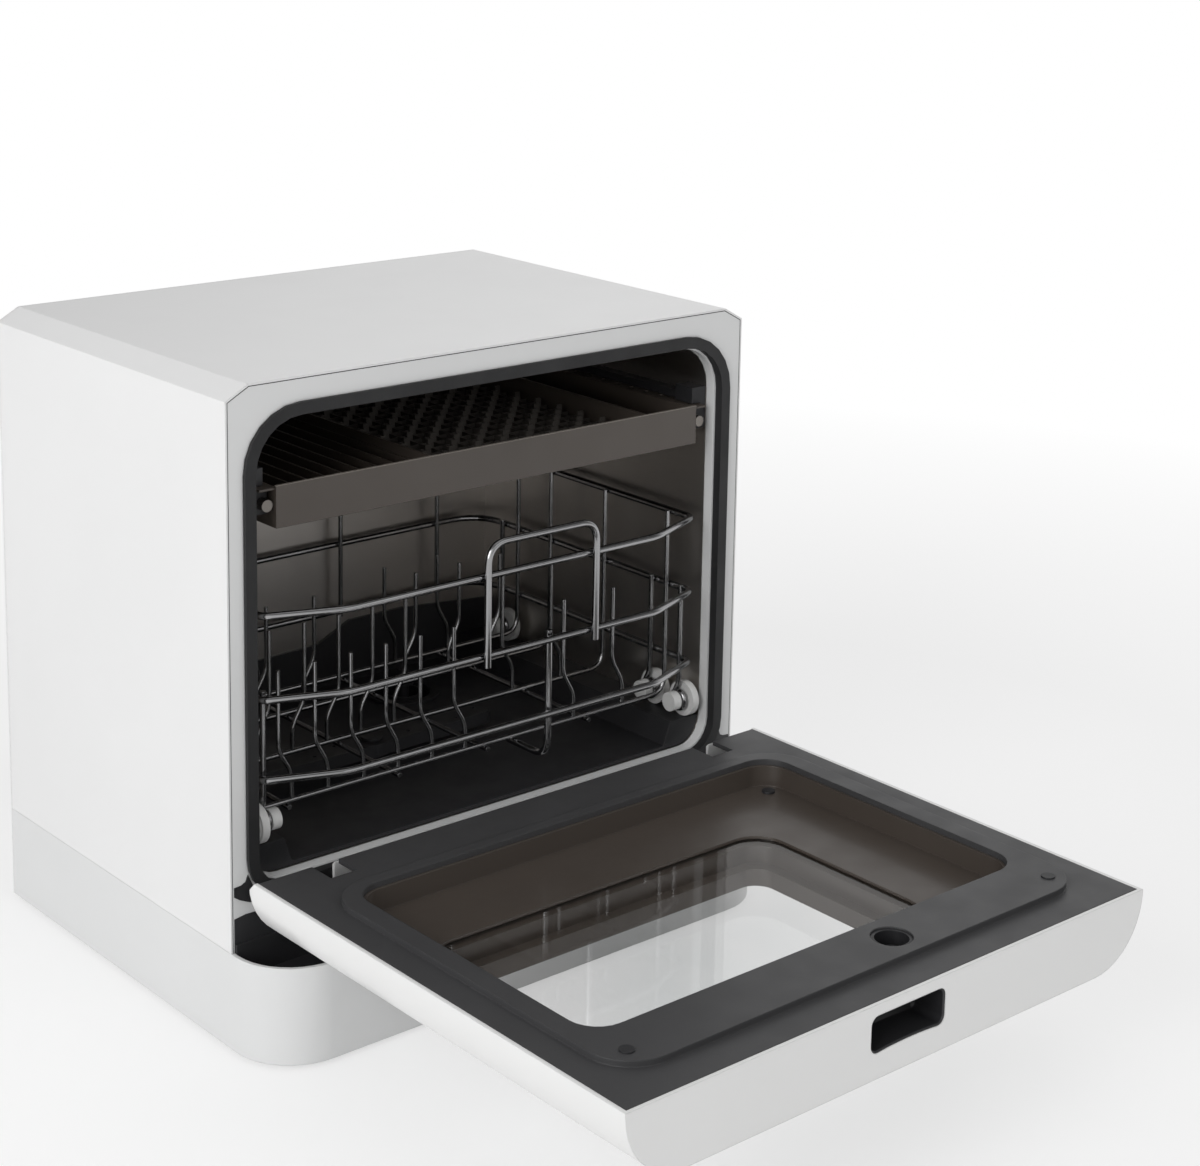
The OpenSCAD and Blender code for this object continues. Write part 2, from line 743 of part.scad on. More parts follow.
module inlet_fitting() color(white) placed()
    difference() {
        union() {
            rod_y(inlet_x, inlet_z, inlet_seat, case_d - sheet, case_d, 32);
            rod_y(inlet_x, inlet_z, inlet_seat + 8, case_d, case_d + flange_t, 32);
            rod_y(inlet_x, inlet_z, inlet_seat - 4, case_d + flange_t, case_d + fitting_out, 32);
        }
        rod_y(inlet_x, inlet_z, inlet_d, case_d - 10, case_d + fitting_out + 1, 32);
    }

// Door pieces are drawn as the door stands closed
module hinge_notches()
    both_sides() box(hinge_x - 10, hinge_x + 10, door_y0 + door_wall + 1, door_y1 + 5,
        door_z0 - 1, hinge_z + 12);

// Outline of the handle pocket, bowed on its outer side
pocket_y1 = door_y1 - 9;
pocket_y0 = door_y0 + 17;
pocket_bow = 2.5;
function pocket_outline(t) =
    let (h = pocket_w / 2 - t)
    concat(
        [[h, pocket_y1 - t], [-h, pocket_y1 - t]],
        [for (i = [0 : 6]) [-h + 2 * h * i / 6, pocket_y0 + t - pocket_bow * sin(180 * i / 6)]]);

heel_cut = 8.4;
module door_shell() color(white) door_place()
    difference() {
        translate([0, 0, door_z0]) linear_extrude(door_z1 - door_z0) polygon(door_outline(0, door_y1));
        translate([0, 0, door_z0 + door_wall]) linear_extrude(door_z1 - door_z0 - 2 * door_wall)
            polygon(door_outline(door_wall, door_y1 + 1));
        window_block(-outer_in, window_r - 4, door_y0 - 1, door_y0 + door_wall + 1);
        box(-panel_w / 2, panel_w / 2, door_y0 - 1, door_y0 + door_wall + 1,
            panel_z - panel_h / 2, panel_z + panel_h / 2);
        translate([0, 0, door_z1 - 2 * door_wall]) linear_extrude(3 * door_wall) polygon(pocket_outline(0));
        hinge_notches();
        translate([0, door_y1, door_z0]) rotate([45, 0, 0]) cube([big, heel_cut, heel_cut], center = true);
    }

module door_liner() color(dark) door_place()
    difference() {
        union() {
            box(-door_w / 2 + door_wall + fit, door_w / 2 - door_wall - fit, door_y1 - liner_t, door_y1,
                door_z0 + 7, door_z1 - door_wall - fit);
            rect_xz(rim_w, rim_z0, rim_z1, mouth_r - 2, door_y1 - liner_t, door_y1 + rim_h);
        }
        rect_xz(2 * pan_half, pan_z0, pan_z1, pan_r, door_y1 - liner_t - 1, door_y1 + rim_h + 1);
        rod_y(vent_hole_x, vent_hole_z, vent_hole_d, door_y1 - liner_t - 1, door_y1 + rim_h + 1);
        hinge_notches();
    }

module door_pan() color(bronze) door_place()
    difference() {
        rect_xz(2 * (pan_half - fit), pan_z0 + fit, pan_z1 - fit, pan_r, pan_y - pan_t, door_y1);
        rect_xz(2 * (pan_half - fit - pan_t), pan_z0 + fit + pan_t, pan_z1 - fit - pan_t, pan_r - pan_t,
            pan_y, door_y1 + 1);
        window_block(0, window_r, pan_y - pan_t - 1, pan_y + 1);
    }

// Block of the window's outline, grown by g, from y0 to y1
module window_block(g, r, y0, y1) {
    translate([window_x, 0, 0])
        rect_xz(window_w + 2 * g, window_z0 - g, window_z1 + g, r, y0, y1);
}

module inner_pane() color([0.75, 0.8, 0.82, 0.35]) door_place()
    window_block(pane_lap, window_r, pan_y - pan_t - pane_t, pan_y - pan_t);

// Frame that holds both panes, wide behind the inner one and narrow at the outer one
module window_frame() color(bronze) door_place() {
    seat = pan_y - pan_t - pane_t;
    step = (seat + door_y0 + door_wall) / 2;
    difference() {
        union() {
            window_block(pane_lap, window_r, step, seat);
            window_block(0, window_r, door_y0 + door_wall, step);
        }
        window_block(-pane_lap, window_r - pane_lap, step, seat + 1);
        window_block(-outer_in - pane_lap, window_r - outer_in, door_y0, step + 1);
    }
}

module outer_pane() color([0.75, 0.8, 0.82, 0.35]) door_place()
    window_block(-outer_in - fit, window_r - 4, door_y0, door_y0 + door_wall);

module handle_pocket() color(dark) door_place()
    difference() {
        translate([0, 0, door_z1 - pocket_deep]) linear_extrude(pocket_deep) polygon(pocket_outline(fit / 2));
        translate([0, 0, door_z1 - pocket_deep + 1.5]) linear_extrude(pocket_deep) polygon(pocket_outline(1.8));
    }

// Round cup sunk in the rim near the free edge, with a disc on its floor
cup_deep = 13;
cup_floor = 2;
module liner_vent() color(dark) door_place() {
    y1 = door_y1 + rim_h - 1;
    y0 = y1 - cup_deep;
    difference() {
        rod_y(vent_hole_x, vent_hole_z, vent_hole_d - 2 * fit, y0, y1, 40);
        rod_y(vent_hole_x, vent_hole_z, vent_hole_d - 5, y0 + cup_floor, y1 + 1, 40);
    }
    rod_y(vent_hole_x, vent_hole_z, vent_hole_d - 14, y0 + cup_floor, y0 + cup_floor + 4, 32);
}

cap_d = 9;
module screw_caps() color(dark) door_place() both_sides() {
    rod_y(pan_half - 14, pan_z0 + 16, cap_d, pan_y, pan_y + 1.5, 24);
    rod_y(pan_half - 3, vent_hole_z + 4, cap_d, door_y1 + rim_h, door_y1 + rim_h + 0.8, 24);
}

button_x = [-0.32 * panel_w, 0.27 * panel_w, 0.42 * panel_w];
button_stem = 5;
board_y = door_y0 + 12;
board_t = 1.6;
board_x = [-0.48 * panel_w, 0.5 * panel_w];
display_x = [-0.18 * panel_w, 0.14 * panel_w];
module control_panel() color(dark) door_place()
    difference() {
        union() {
            box(-panel_w / 2 + fit, panel_w / 2 - fit, door_y0, door_y0 + door_wall,
                panel_z - panel_h / 2 + fit, panel_z + panel_h / 2 - fit);
            box(-panel_w / 2 - 5, panel_w / 2 + 5, door_y0 + door_wall, door_y0 + door_wall + panel_lip,
                panel_z - panel_h / 2 - 4, panel_z + panel_h / 2 + 4);
            for (x = [board_x[0] + 6, 0, board_x[1] - 5])
                rod_y(x, panel_z + panel_h / 2 - 5, 6, door_y0 + door_wall, board_y, 24);
        }
        for (x = button_x) rod_y(x, panel_z, button_d + 2 * face_gap, door_y0 - 1, board_y - 1);
        box(display_x[0], display_x[1], door_y0 - 1, door_y0 + 0.8,
            panel_z - panel_h / 4, panel_z + panel_h / 4);
    }

module control_board() color("#2f6b45") door_place() {
    box(board_x[0], board_x[1], board_y, board_y + board_t,
        panel_z - panel_h / 2 + 2, panel_z + panel_h / 2 - 2);
    box(-30, 20, board_y + board_t, board_y + board_t + 4.4, panel_z - panel_h / 2 + 5, panel_z + 4);
}

module push_button(x) color(grey_trim) door_place() {
    rim_y = door_y0 + door_wall + panel_lip + face_gap;
    rod_y(x, panel_z, button_d, door_y0 - 1.5, rim_y + 0.5, 40);
    rod_y(x, panel_z, button_d + 4, rim_y, rim_y + 1.7, 40);
    rod_y(x, panel_z, button_stem, rim_y + 1, board_y - button_travel - face_gap, 24);
}
module power_button() push_button(button_x[0]);
module mode_button() push_button(button_x[1]);
module start_button() push_button(button_x[2]);

// Clevis of two cheeks with the pin that turns in the bracket
module hinge_arms() color(steel) door_place() both_sides() {
    for (s = [-1, 1]) {
        x0 = hinge_x + (s > 0 ? cheek_in : -cheek_in - cheek_t);
        rod_x(hinge_y, hinge_z, 2 * boss_r, x0, x0 + cheek_t, 40);
        box(x0, x0 + cheek_t, door_y0 + door_wall, hinge_y + boss_r, hinge_z, hinge_z + 34);
    }
    box(hinge_x - cheek_in, hinge_x + cheek_in, door_y0 + door_wall, door_y0 + door_wall + 2,
        hinge_z + 14, hinge_z + 34);
    rod_x(hinge_y, hinge_z, hinge_pin_d, hinge_x - cheek_in, hinge_x + cheek_in, 32);
}

// Plan of a rail: round rear corners and slanted front corners
function rail_plan(z) =
    let (h = basket_half, f = basket_front, b = basket_rear)
    concat(
        bend([[h, (f + b) / 2, z], [h, b, z], [0, b, z]], rear_bend, 4),
        bend([[0, b, z], [-h, b, z], [-h, (f + b) / 2, z]], rear_bend, 4),
        bend([[-h, (f + b) / 2, z], [-h, f, z], [-h + bow_run, f - basket_bow, z],
              [h - bow_run, f - basket_bow, z], [h, f, z], [h, (f + b) / 2, z]], 6, 3));

function no_repeats(p) = [for (i = [0 : len(p) - 1])
    if (norm(p[i] - p[(i + 1) % len(p)]) > 0.01) p[i]];

module rail(z) sweep(no_repeats(rail_plan(z)), rail_d, [0, 0, 1], true, 8);

module top_rail() color(chrome) basket_place() rail(rail_top_z);

module side_rails() color(chrome) basket_place() {
    rail(rail_mid_z);
    rail(rail_low_z);
}

// The cross wires stand just inside the rails
post_x = basket_half - rail_d / 2 - wire_d / 2 - weld_gap;
module cross_wires() color(chrome) basket_place()
    for (y = post_y)
        sweep(bend([[-post_x, y, rail_top_z + 1], [-post_x, y, floor_wire_z],
            [post_x, y, floor_wire_z], [post_x, y, rail_top_z + 1]], 14), wire_d, [0, 1, 0]);

rear_post_y = basket_rear - rail_d / 2 - wire_d / 2 - weld_gap;
runner_z = floor_wire_z - wire_d - weld_gap;
module rear_posts() color(chrome) basket_place() {
    for (x = basket_half * [-0.75, -0.25, 0.25, 0.75])
        sweep([[x, rear_post_y, rail_top_z + 1], [x, rear_post_y, rail_low_z - 3]], wire_d, [1, 0, 0]);
    for (x = basket_half * [-0.82, -0.34, 0.07, 0.57])
        sweep([[x, post_y[0] - 3, runner_z], [x, post_y[3] + 3, runner_z]], wire_d, [1, 0, 0]);
}

// A tine that steps sideways above the floor wire, then stands upright
module tine(x, y, step, top_z) {
    z0 = floor_wire_z + wire_d / 2 + weld_gap;
    sweep(bend([[x, y, z0], [x, y, z0 + 17], [x + step, y, z0 + 34], [x + step, y, top_z]], 4, 2),
        tine_d, [0, 1, 0]);
}

tine_step = 10;
tine_top = rail_mid_z + 8;
tine_x0 = 36.5 - basket_half;
module plate_tines() color(chrome) basket_place()
    for (i = [0 : 5]) {
        tine(tine_x0 + tine_pitch * i, post_y[0], -tine_step, tine_top);
        tine(tine_x0 - tine_step + tine_pitch * i, post_y[1], tine_step, tine_top);
    }

module cup_tines() color(chrome) basket_place() {
    for (x = basket_half * [0.5, 0.75], y = [post_y[0], post_y[1]]) tine(x, y, -tine_step, tine_top);
    for (x = basket_half * [-0.71, -0.49, -0.27, 0.22, 0.44, 0.65]) tine(x, post_y[2], tine_step, tine_top - 8);
    for (x = basket_half * [-0.6, -0.33, 0.33, 0.6]) tine(x, post_y[3], -tine_step, tine_top - 14);
}

handle_half = 47;
handle_rise = 24;
handle_bend = 15;
handle_top = rail_top_z + handle_rise;
grip_y = basket_front - basket_bow - rail_d - weld_gap;
rest_x = handle_x + 14;
rest_y = basket_front - basket_bow + rail_d + weld_gap;
rest_z = floor_wire_z - wire_d / 2 - rail_d / 2 - weld_gap;
module basket_handle() color(chrome) basket_place() {
    x0 = handle_x - handle_half;
    x1 = handle_x + handle_half;
    foot_z = rail_mid_z - 6;
    grip = [[x0, grip_y, foot_z], [x0, grip_y, handle_top], [x1, grip_y, handle_top], [x1, grip_y, foot_z]];
    rest = [[rest_x, rest_y, rail_mid_z + 5], [rest_x, rest_y, rest_z], [rest_x, post_y[0] + 6, rest_z]];
    sweep(bend(grip, handle_bend), rail_d, [0, 1, 0], false, 8);
    sweep(bend(rest, handle_bend), rail_d, [1, 0, 0], false, 8);
}

// Legs hang from the middle rail and end in a loop round the wheel's neck
loop_in = neck_d / 2 + 0.6;
loop_mid = loop_in + leg_d / 2;
module wheel_leg(y) {
    sweep([[leg_x, y, rail_mid_z + 4], [leg_x, y, axle_z + loop_mid + leg_d / 2 + weld_gap]], leg_d, [1, 0, 0]);
    sweep([for (a = [0 : 30 : 330]) [leg_x, y + loop_mid * cos(a), axle_z + loop_mid * sin(a)]],
        leg_d, [1, 0, 0], true);
}
module wheel_legs() color(chrome) basket_place() both_sides()
    for (y = wheel_y) wheel_leg(y);

// Spool wheel with a large outer flange and a small inner hub
module wheel(side, y) color("#e9e9e6") basket_place() {
    x1 = wheel_out;
    x2 = x1 - wheel_flange_t;
    x3 = x2 - wheel_neck_t;
    mirror([side < 0 ? 1 : 0, 0, 0]) difference() {
        union() {
            rod_x(y, axle_z, wheel_d, x2, x1 - 1, 48);
            rod_x(y, axle_z, wheel_d - 4, x1 - 1, x1, 48);
            rod_x(y, axle_z, neck_d, x3, x2, 32);
            rod_x(y, axle_z, 14, x3 - wheel_hub_t, x3, 32);
        }
        rod_x(y, axle_z, 4, x1 - 3, x1 + 1, 24);
    }
}
module wheel_front_left() wheel(-1, wheel_y[0]);
module wheel_mid_left() wheel(-1, wheel_y[1]);
module wheel_rear_left() wheel(-1, wheel_y[2]);
module wheel_front_right() wheel(1, wheel_y[0]);
module wheel_mid_right() wheel(1, wheel_y[1]);
module wheel_rear_right() wheel(1, wheel_y[2]);

flange_pitch = 16;
drip_pitch = 36;
module tray_shell() color(bronze) tray_place()
    difference() {
        union() {
            box(-tray_half, tray_half, tray_y0, tray_y1, tray_z0, tray_z0 + tray_sheet);
            box(-tray_half, tray_half, tray_y0, tray_y0 + tray_sheet, tray_z0 - 4, tray_top_z + 1.5);
            box(-tray_half, tray_half, tray_y1 - tray_sheet, tray_y1, tray_z0, tray_top_z - 1);
            for (x = tray_split) box(x, x + tray_sheet, tray_y0, tray_y1, tray_z0, tray_top_z - 2);
            both_sides() {
                box(tray_half - tray_sheet, tray_half, tray_y0, tray_y1, tray_z0 - 4, tray_top_z);
                box(tray_half - tray_sheet, tray_half + tray_flange, tray_y0 + 2, tray_y1,
                    tray_top_z - tray_sheet, tray_top_z);
            }
        }
        both_sides() for (y = [tray_y0 + 12 : flange_pitch : tray_y1 - 8])
            translate([tray_half + tray_flange / 2, y, tray_top_z - 5]) cylinder(d = 4.5, h = 10, $fn = 24);
        for (x = [26 - tray_half : drip_pitch : tray_half - 26], s = [-1, 1])
            translate([x, (tray_y0 + tray_y1) / 2 + s * tray_l / 4, tray_z0])
                box(0, drip_pitch / 2, -3, 3, -1, tray_sheet + 1);
    }

fin_h = 12;
peg_h = 10;

// Slotted rack with fins that part long cutlery
module rib_insert() color(bronze) tray_place() {
    x0 = -tray_half + tray_sheet + run_gap;
    x1 = tray_split[0] - run_gap;
    z0 = tray_z0 + tray_sheet;
    y0 = tray_y0 + 4;
    y1 = tray_y1 - 4;
    z1 = z0 + tray_sheet;
    fins = 10;
    pitch = (x1 - x0 - tray_sheet) / (fins - 1);
    slots = 4;
    slot_pitch = (y1 - y0 - 11) / slots;
    difference() {
        box(x0, x1, y0, y1, z0, z1);
        for (i = [0 : fins - 2], s = [0 : slots - 1])
            box(x0 + tray_sheet + pitch * i + 2, x0 + pitch * (i + 1) - 2,
                y0 + 10 + slot_pitch * s, y0 - 3 + slot_pitch * (s + 1), z0 - 1, z1 + 1);
    }
    for (i = [0 : fins - 1])
        box(x0 + pitch * i, x0 + pitch * i + tray_sheet, y0, y1, z1, z0 + fin_h);
    for (y = [y0, y1 - tray_sheet])
        box(x0, x1, y, y + tray_sheet, z1, z0 + fin_h + 2);
}

module peg_mat() color(dark) tray_place() {
    x0 = tray_split[0] + tray_sheet + run_gap;
    x1 = tray_split[1] - run_gap;
    y0 = tray_y0 + tray_sheet + run_gap;
    y1 = tray_y1 - tray_sheet - run_gap;
    z0 = tray_z0 + tray_sheet;
    columns = 9;
    rows = 11;
    edge = 9;
    box(x0, x1, y0, y1, z0, z0 + tray_sheet);
    for (i = [0 : columns - 1], j = [0 : rows - 1]) translate([
        x0 + edge + (x1 - x0 - 2 * edge) * i / (columns - 1),
        y0 + edge + (y1 - y0 - 2 * edge) * j / (rows - 1),
        z0 + tray_sheet / 2
    ]) cylinder(d = 4, h = peg_h, $fn = 8);
}

// Guide rods along the tray's sides, with their front bolts and rear lugs
module tray_rods() color(steel) tray_place() both_sides() {
    rod_y(rod_x, rod_z, rod_d, tray_y0 + 8, tray_y0 + rod_end, 24);
    rod_y(rod_x, rod_z, bolt_d, tray_y0 + 2, tray_y0 + 8, 24);
    rod_x(tray_y0 + 5, rod_z, rod_d, tray_half, rod_x, 24);
    box(tray_half, rod_x + rod_d / 2, tray_y0 + rod_end, tray_y0 + rod_end + 3, rod_z - rod_d, rod_z + rod_d);
}

glide_d = 20;
module tray_glides() color(dark) tray_place() both_sides()
    for (y = [tray_y0 + 84, tray_y0 + 108]) difference() {
        rod_x(y, tray_z0, glide_d, tray_half - 14, tray_half - 6, 32);
        box(tray_half - 15, tray_half - 5, y - glide_d, y + glide_d, tray_z0, tray_z0 + glide_d);
    }

// Both hoses lie on the counter close behind the machine, each ending in a round coil
coil_y = case_d + 135;
drain_coil_r = 115;
inlet_coil_r = 48;
hose_y0 = case_d + fitting_out + face_gap;

// Smooth drop from one height to another, t from 0 to 1
function ease(t) = t * t * (3 - 2 * t);

// Route straight back from a fitting at height z, sinking to lie on the counter
hose_lead = 8;
function drop_route(x, z, d) =
    let (low = d / 2 + face_gap, a = hose_y0 + hose_lead, b = coil_y - face_gap - hose_lead)
    concat(
        [[x, hose_y0, z]],
        [for (i = [0 : 12]) let (t = i / 12) [x, a + (b - a) * t, z + (low - z) * ease(t)]],
        [[x, coil_y - face_gap, low]]);

module drain_hose() color("#4a4c50") placed()
    sweep(drop_route(drain_x, drain_z, drain_d), drain_d, [0, 0, 1], false, 12);

module drain_coil() color("#4a4c50") placed() translate([drain_x - drain_coil_r, coil_y, 0])
    rotate_extrude(angle = 318, $fn = 72)
        translate([drain_coil_r - drain_d / 2, 0]) square([drain_d, 2 * drain_d]);

module inlet_tube() color("#eef0f0") placed()
    sweep(drop_route(inlet_x, inlet_z, inlet_d), inlet_d, [0, 0, 1], false, 8);

module inlet_coil() color("#eef0f0") placed() translate([inlet_x + inlet_coil_r, coil_y, 0])
    rotate([0, 0, 222]) rotate_extrude(angle = 318, $fn = 64)
        translate([inlet_coil_r - inlet_d, 0]) square([2 * inlet_d, 3 * inlet_d]);

side_casing();
back_panel();
base_moulding();
toe_cover();
front_frame();
door_gasket();
tub_shell();
tub_floor();
sump_filter();
spray_hub();
spray_arm();
tray_guides();
drying_vent();
drying_fan();
circulation_pump();
drain_pump();
flow_heater();
inlet_valve();
hinge_brackets();
feet();
drain_spigot();
inlet_fitting();
door_shell();
door_liner();
door_pan();
inner_pane();
outer_pane();
window_frame();
handle_pocket();
liner_vent();
screw_caps();
control_panel();
control_board();
power_button();
mode_button();
start_button();
hinge_arms();
top_rail();
side_rails();
cross_wires();
rear_posts();
plate_tines();
cup_tines();
basket_handle();
wheel_legs();
wheel_front_left();
wheel_mid_left();
wheel_rear_left();
wheel_front_right();
wheel_mid_right();
wheel_rear_right();
tray_shell();
rib_insert();
peg_mat();
tray_rods();
tray_glides();
drain_hose();
drain_coil();
inlet_tube();
inlet_coil();
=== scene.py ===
"""Countertop dishwasher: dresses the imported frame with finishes, round wire, hoses and a studio."""
import json
import math

import bmesh
import bpy
from mathutils import Matrix, Vector, geometry


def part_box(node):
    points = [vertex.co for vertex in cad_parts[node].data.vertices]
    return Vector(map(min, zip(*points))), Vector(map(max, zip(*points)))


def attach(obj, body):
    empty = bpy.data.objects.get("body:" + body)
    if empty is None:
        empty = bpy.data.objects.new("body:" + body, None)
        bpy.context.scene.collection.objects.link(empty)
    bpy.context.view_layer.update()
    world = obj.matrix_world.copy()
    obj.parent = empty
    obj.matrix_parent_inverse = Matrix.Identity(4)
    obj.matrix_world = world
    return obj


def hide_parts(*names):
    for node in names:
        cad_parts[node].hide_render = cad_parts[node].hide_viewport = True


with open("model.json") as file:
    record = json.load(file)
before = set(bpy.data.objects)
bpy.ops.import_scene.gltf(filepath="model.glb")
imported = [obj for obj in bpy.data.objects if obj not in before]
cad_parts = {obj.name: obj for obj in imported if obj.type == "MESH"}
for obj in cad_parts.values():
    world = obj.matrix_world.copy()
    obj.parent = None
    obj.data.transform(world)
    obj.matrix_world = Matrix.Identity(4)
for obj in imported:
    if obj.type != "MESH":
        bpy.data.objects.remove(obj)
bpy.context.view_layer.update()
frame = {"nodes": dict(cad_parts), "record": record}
nodes = frame["nodes"]
MM = 0.001


# Camera, at the photograph's viewing angle
IMAGE_W = 1200
IMAGE_H = 1166
CAM_PLACE = Vector((-0.975, -1.2045, 0.774))
CAM_AZIMUTH = math.radians(41.05)
CAM_DOWN = math.radians(10.61)
CAM_ROLL = math.radians(1.08)
FOCAL_PX = 2439.0
CENTRE_PX = (621.0, 277.3)


def make_camera():
    data = bpy.data.cameras.new("camera")
    cam = bpy.data.objects.new("camera", data)
    bpy.context.scene.collection.objects.link(cam)
    look = Vector((
        math.sin(CAM_AZIMUTH) * math.cos(CAM_DOWN),
        math.cos(CAM_AZIMUTH) * math.cos(CAM_DOWN),
        -math.sin(CAM_DOWN),
    ))
    right = Vector((math.cos(CAM_AZIMUTH), -math.sin(CAM_AZIMUTH), 0))
    up = right.cross(look)
    rolled_right = right * math.cos(CAM_ROLL) + up * math.sin(CAM_ROLL)
    rolled_up = -right * math.sin(CAM_ROLL) + up * math.cos(CAM_ROLL)
    turn = Matrix((rolled_right, rolled_up, -look)).transposed()
    cam.matrix_world = Matrix.Translation(CAM_PLACE) @ turn.to_4x4()
    data.sensor_width = 36
    data.lens = FOCAL_PX / IMAGE_W * data.sensor_width
    data.shift_x = (IMAGE_W / 2 - CENTRE_PX[0]) / IMAGE_W
    data.shift_y = (CENTRE_PX[1] - IMAGE_H / 2) / IMAGE_W
    data.clip_start = 0.05
    data.clip_end = 30
    bpy.context.scene.camera = cam


# Node-based materials
def new_material(name):
    mat = bpy.data.materials.new(name)
    mat.use_nodes = True
    tree = mat.node_tree
    tree.nodes.clear()
    out = tree.nodes.new("ShaderNodeOutputMaterial")
    bsdf = tree.nodes.new("ShaderNodeBsdfPrincipled")
    tree.links.new(bsdf.outputs[0], out.inputs[0])
    return mat, tree, bsdf


def object_noise(tree, scale, detail=3.0, stretch=(1, 1, 1)):
    coords = tree.nodes.new("ShaderNodeTexCoord")
    mapping = tree.nodes.new("ShaderNodeMapping")
    mapping.inputs["Scale"].default_value = stretch
    noise = tree.nodes.new("ShaderNodeTexNoise")
    noise.inputs["Scale"].default_value = scale
    noise.inputs["Detail"].default_value = detail
    tree.links.new(coords.outputs["Object"], mapping.inputs[0])
    tree.links.new(mapping.outputs[0], noise.inputs["Vector"])
    return noise.outputs["Fac"]


def ramp(tree, fac, low, high, low_at=0.35, high_at=0.65):
    node = tree.nodes.new("ShaderNodeValToRGB")
    node.color_ramp.elements[0].position = low_at
    node.color_ramp.elements[1].position = high_at
    node.color_ramp.elements[0].color = low
    node.color_ramp.elements[1].color = high
    tree.links.new(fac, node.inputs[0])
    return node.outputs[0]


def grey(v):
    return (v, v, v, 1)


def finish(name, color, rough, spread=0.06, grain=600, grain_depth=0.02, metallic=0.0,
           coat=0.0, edge=0.0006, stretch=(1, 1, 1), cloud=7.0, tint=0.06, subsurface=0.0):
    """Colour that drifts a little, roughness that varies, a fine moulded grain and softened edges."""
    mat, tree, bsdf = new_material(name)
    drift = object_noise(tree, cloud, 3.0)
    low = tuple(c * (1 - tint) for c in color) + (1,)
    high = tuple(min(1.0, c * (1 + tint)) for c in color) + (1,)
    tree.links.new(ramp(tree, drift, low, high), bsdf.inputs["Base Color"])
    patches = object_noise(tree, 38, 4.0, stretch)
    tree.links.new(
        ramp(tree, patches, grey(max(0.03, rough - spread)), grey(min(1, rough + spread))),
        bsdf.inputs["Roughness"])
    bsdf.inputs["Metallic"].default_value = metallic
    bsdf.inputs["Coat Weight"].default_value = coat
    bsdf.inputs["Coat Roughness"].default_value = 0.12
    if subsurface:
        bsdf.inputs["Subsurface Weight"].default_value = subsurface
        bsdf.inputs["Subsurface Radius"].default_value = (0.004, 0.004, 0.004)
    fine = object_noise(tree, grain, 2.0, stretch)
    bevel = tree.nodes.new("ShaderNodeBevel")
    bevel.samples = 4
    bevel.inputs["Radius"].default_value = edge
    bump = tree.nodes.new("ShaderNodeBump")
    bump.inputs["Strength"].default_value = grain_depth * 5
    bump.inputs["Distance"].default_value = 0.0002
    tree.links.new(fine, bump.inputs["Height"])
    tree.links.new(bevel.outputs[0], bump.inputs["Normal"])
    tree.links.new(bump.outputs[0], bsdf.inputs["Normal"])
    return mat


def clear_pane(name):
    """Thin tempered glass: see-through, with a faint grey tint and a reflection at low angles."""
    mat, tree, bsdf = new_material(name)
    tree.nodes.remove(bsdf)
    out = next(n for n in tree.nodes if n.type == "OUTPUT_MATERIAL")
    through = tree.nodes.new("ShaderNodeBsdfTransparent")
    smear = object_noise(tree, 9, 2.0)
    tree.links.new(ramp(tree, smear, (0.965, 0.97, 0.97, 1), (0.985, 0.985, 0.985, 1)), through.inputs[0])
    shine = tree.nodes.new("ShaderNodeBsdfGlossy")
    shine.inputs["Roughness"].default_value = 0.04
    fresnel = tree.nodes.new("ShaderNodeFresnel")
    fresnel.inputs["IOR"].default_value = 1.45
    side = tree.nodes.new("ShaderNodeNewGeometry")
    outer = tree.nodes.new("ShaderNodeMath")
    outer.operation = "SUBTRACT"
    outer.inputs[0].default_value = 1.0
    tree.links.new(side.outputs["Backfacing"], outer.inputs[1])
    share = tree.nodes.new("ShaderNodeMath")
    share.operation = "MULTIPLY"
    tree.links.new(fresnel.outputs[0], share.inputs[0])
    tree.links.new(outer.outputs[0], share.inputs[1])
    mix = tree.nodes.new("ShaderNodeMixShader")
    tree.links.new(share.outputs[0], mix.inputs[0])
    tree.links.new(through.outputs[0], mix.inputs[1])
    tree.links.new(shine.outputs[0], mix.inputs[2])
    tree.links.new(mix.outputs[0], out.inputs[0])
    return mat


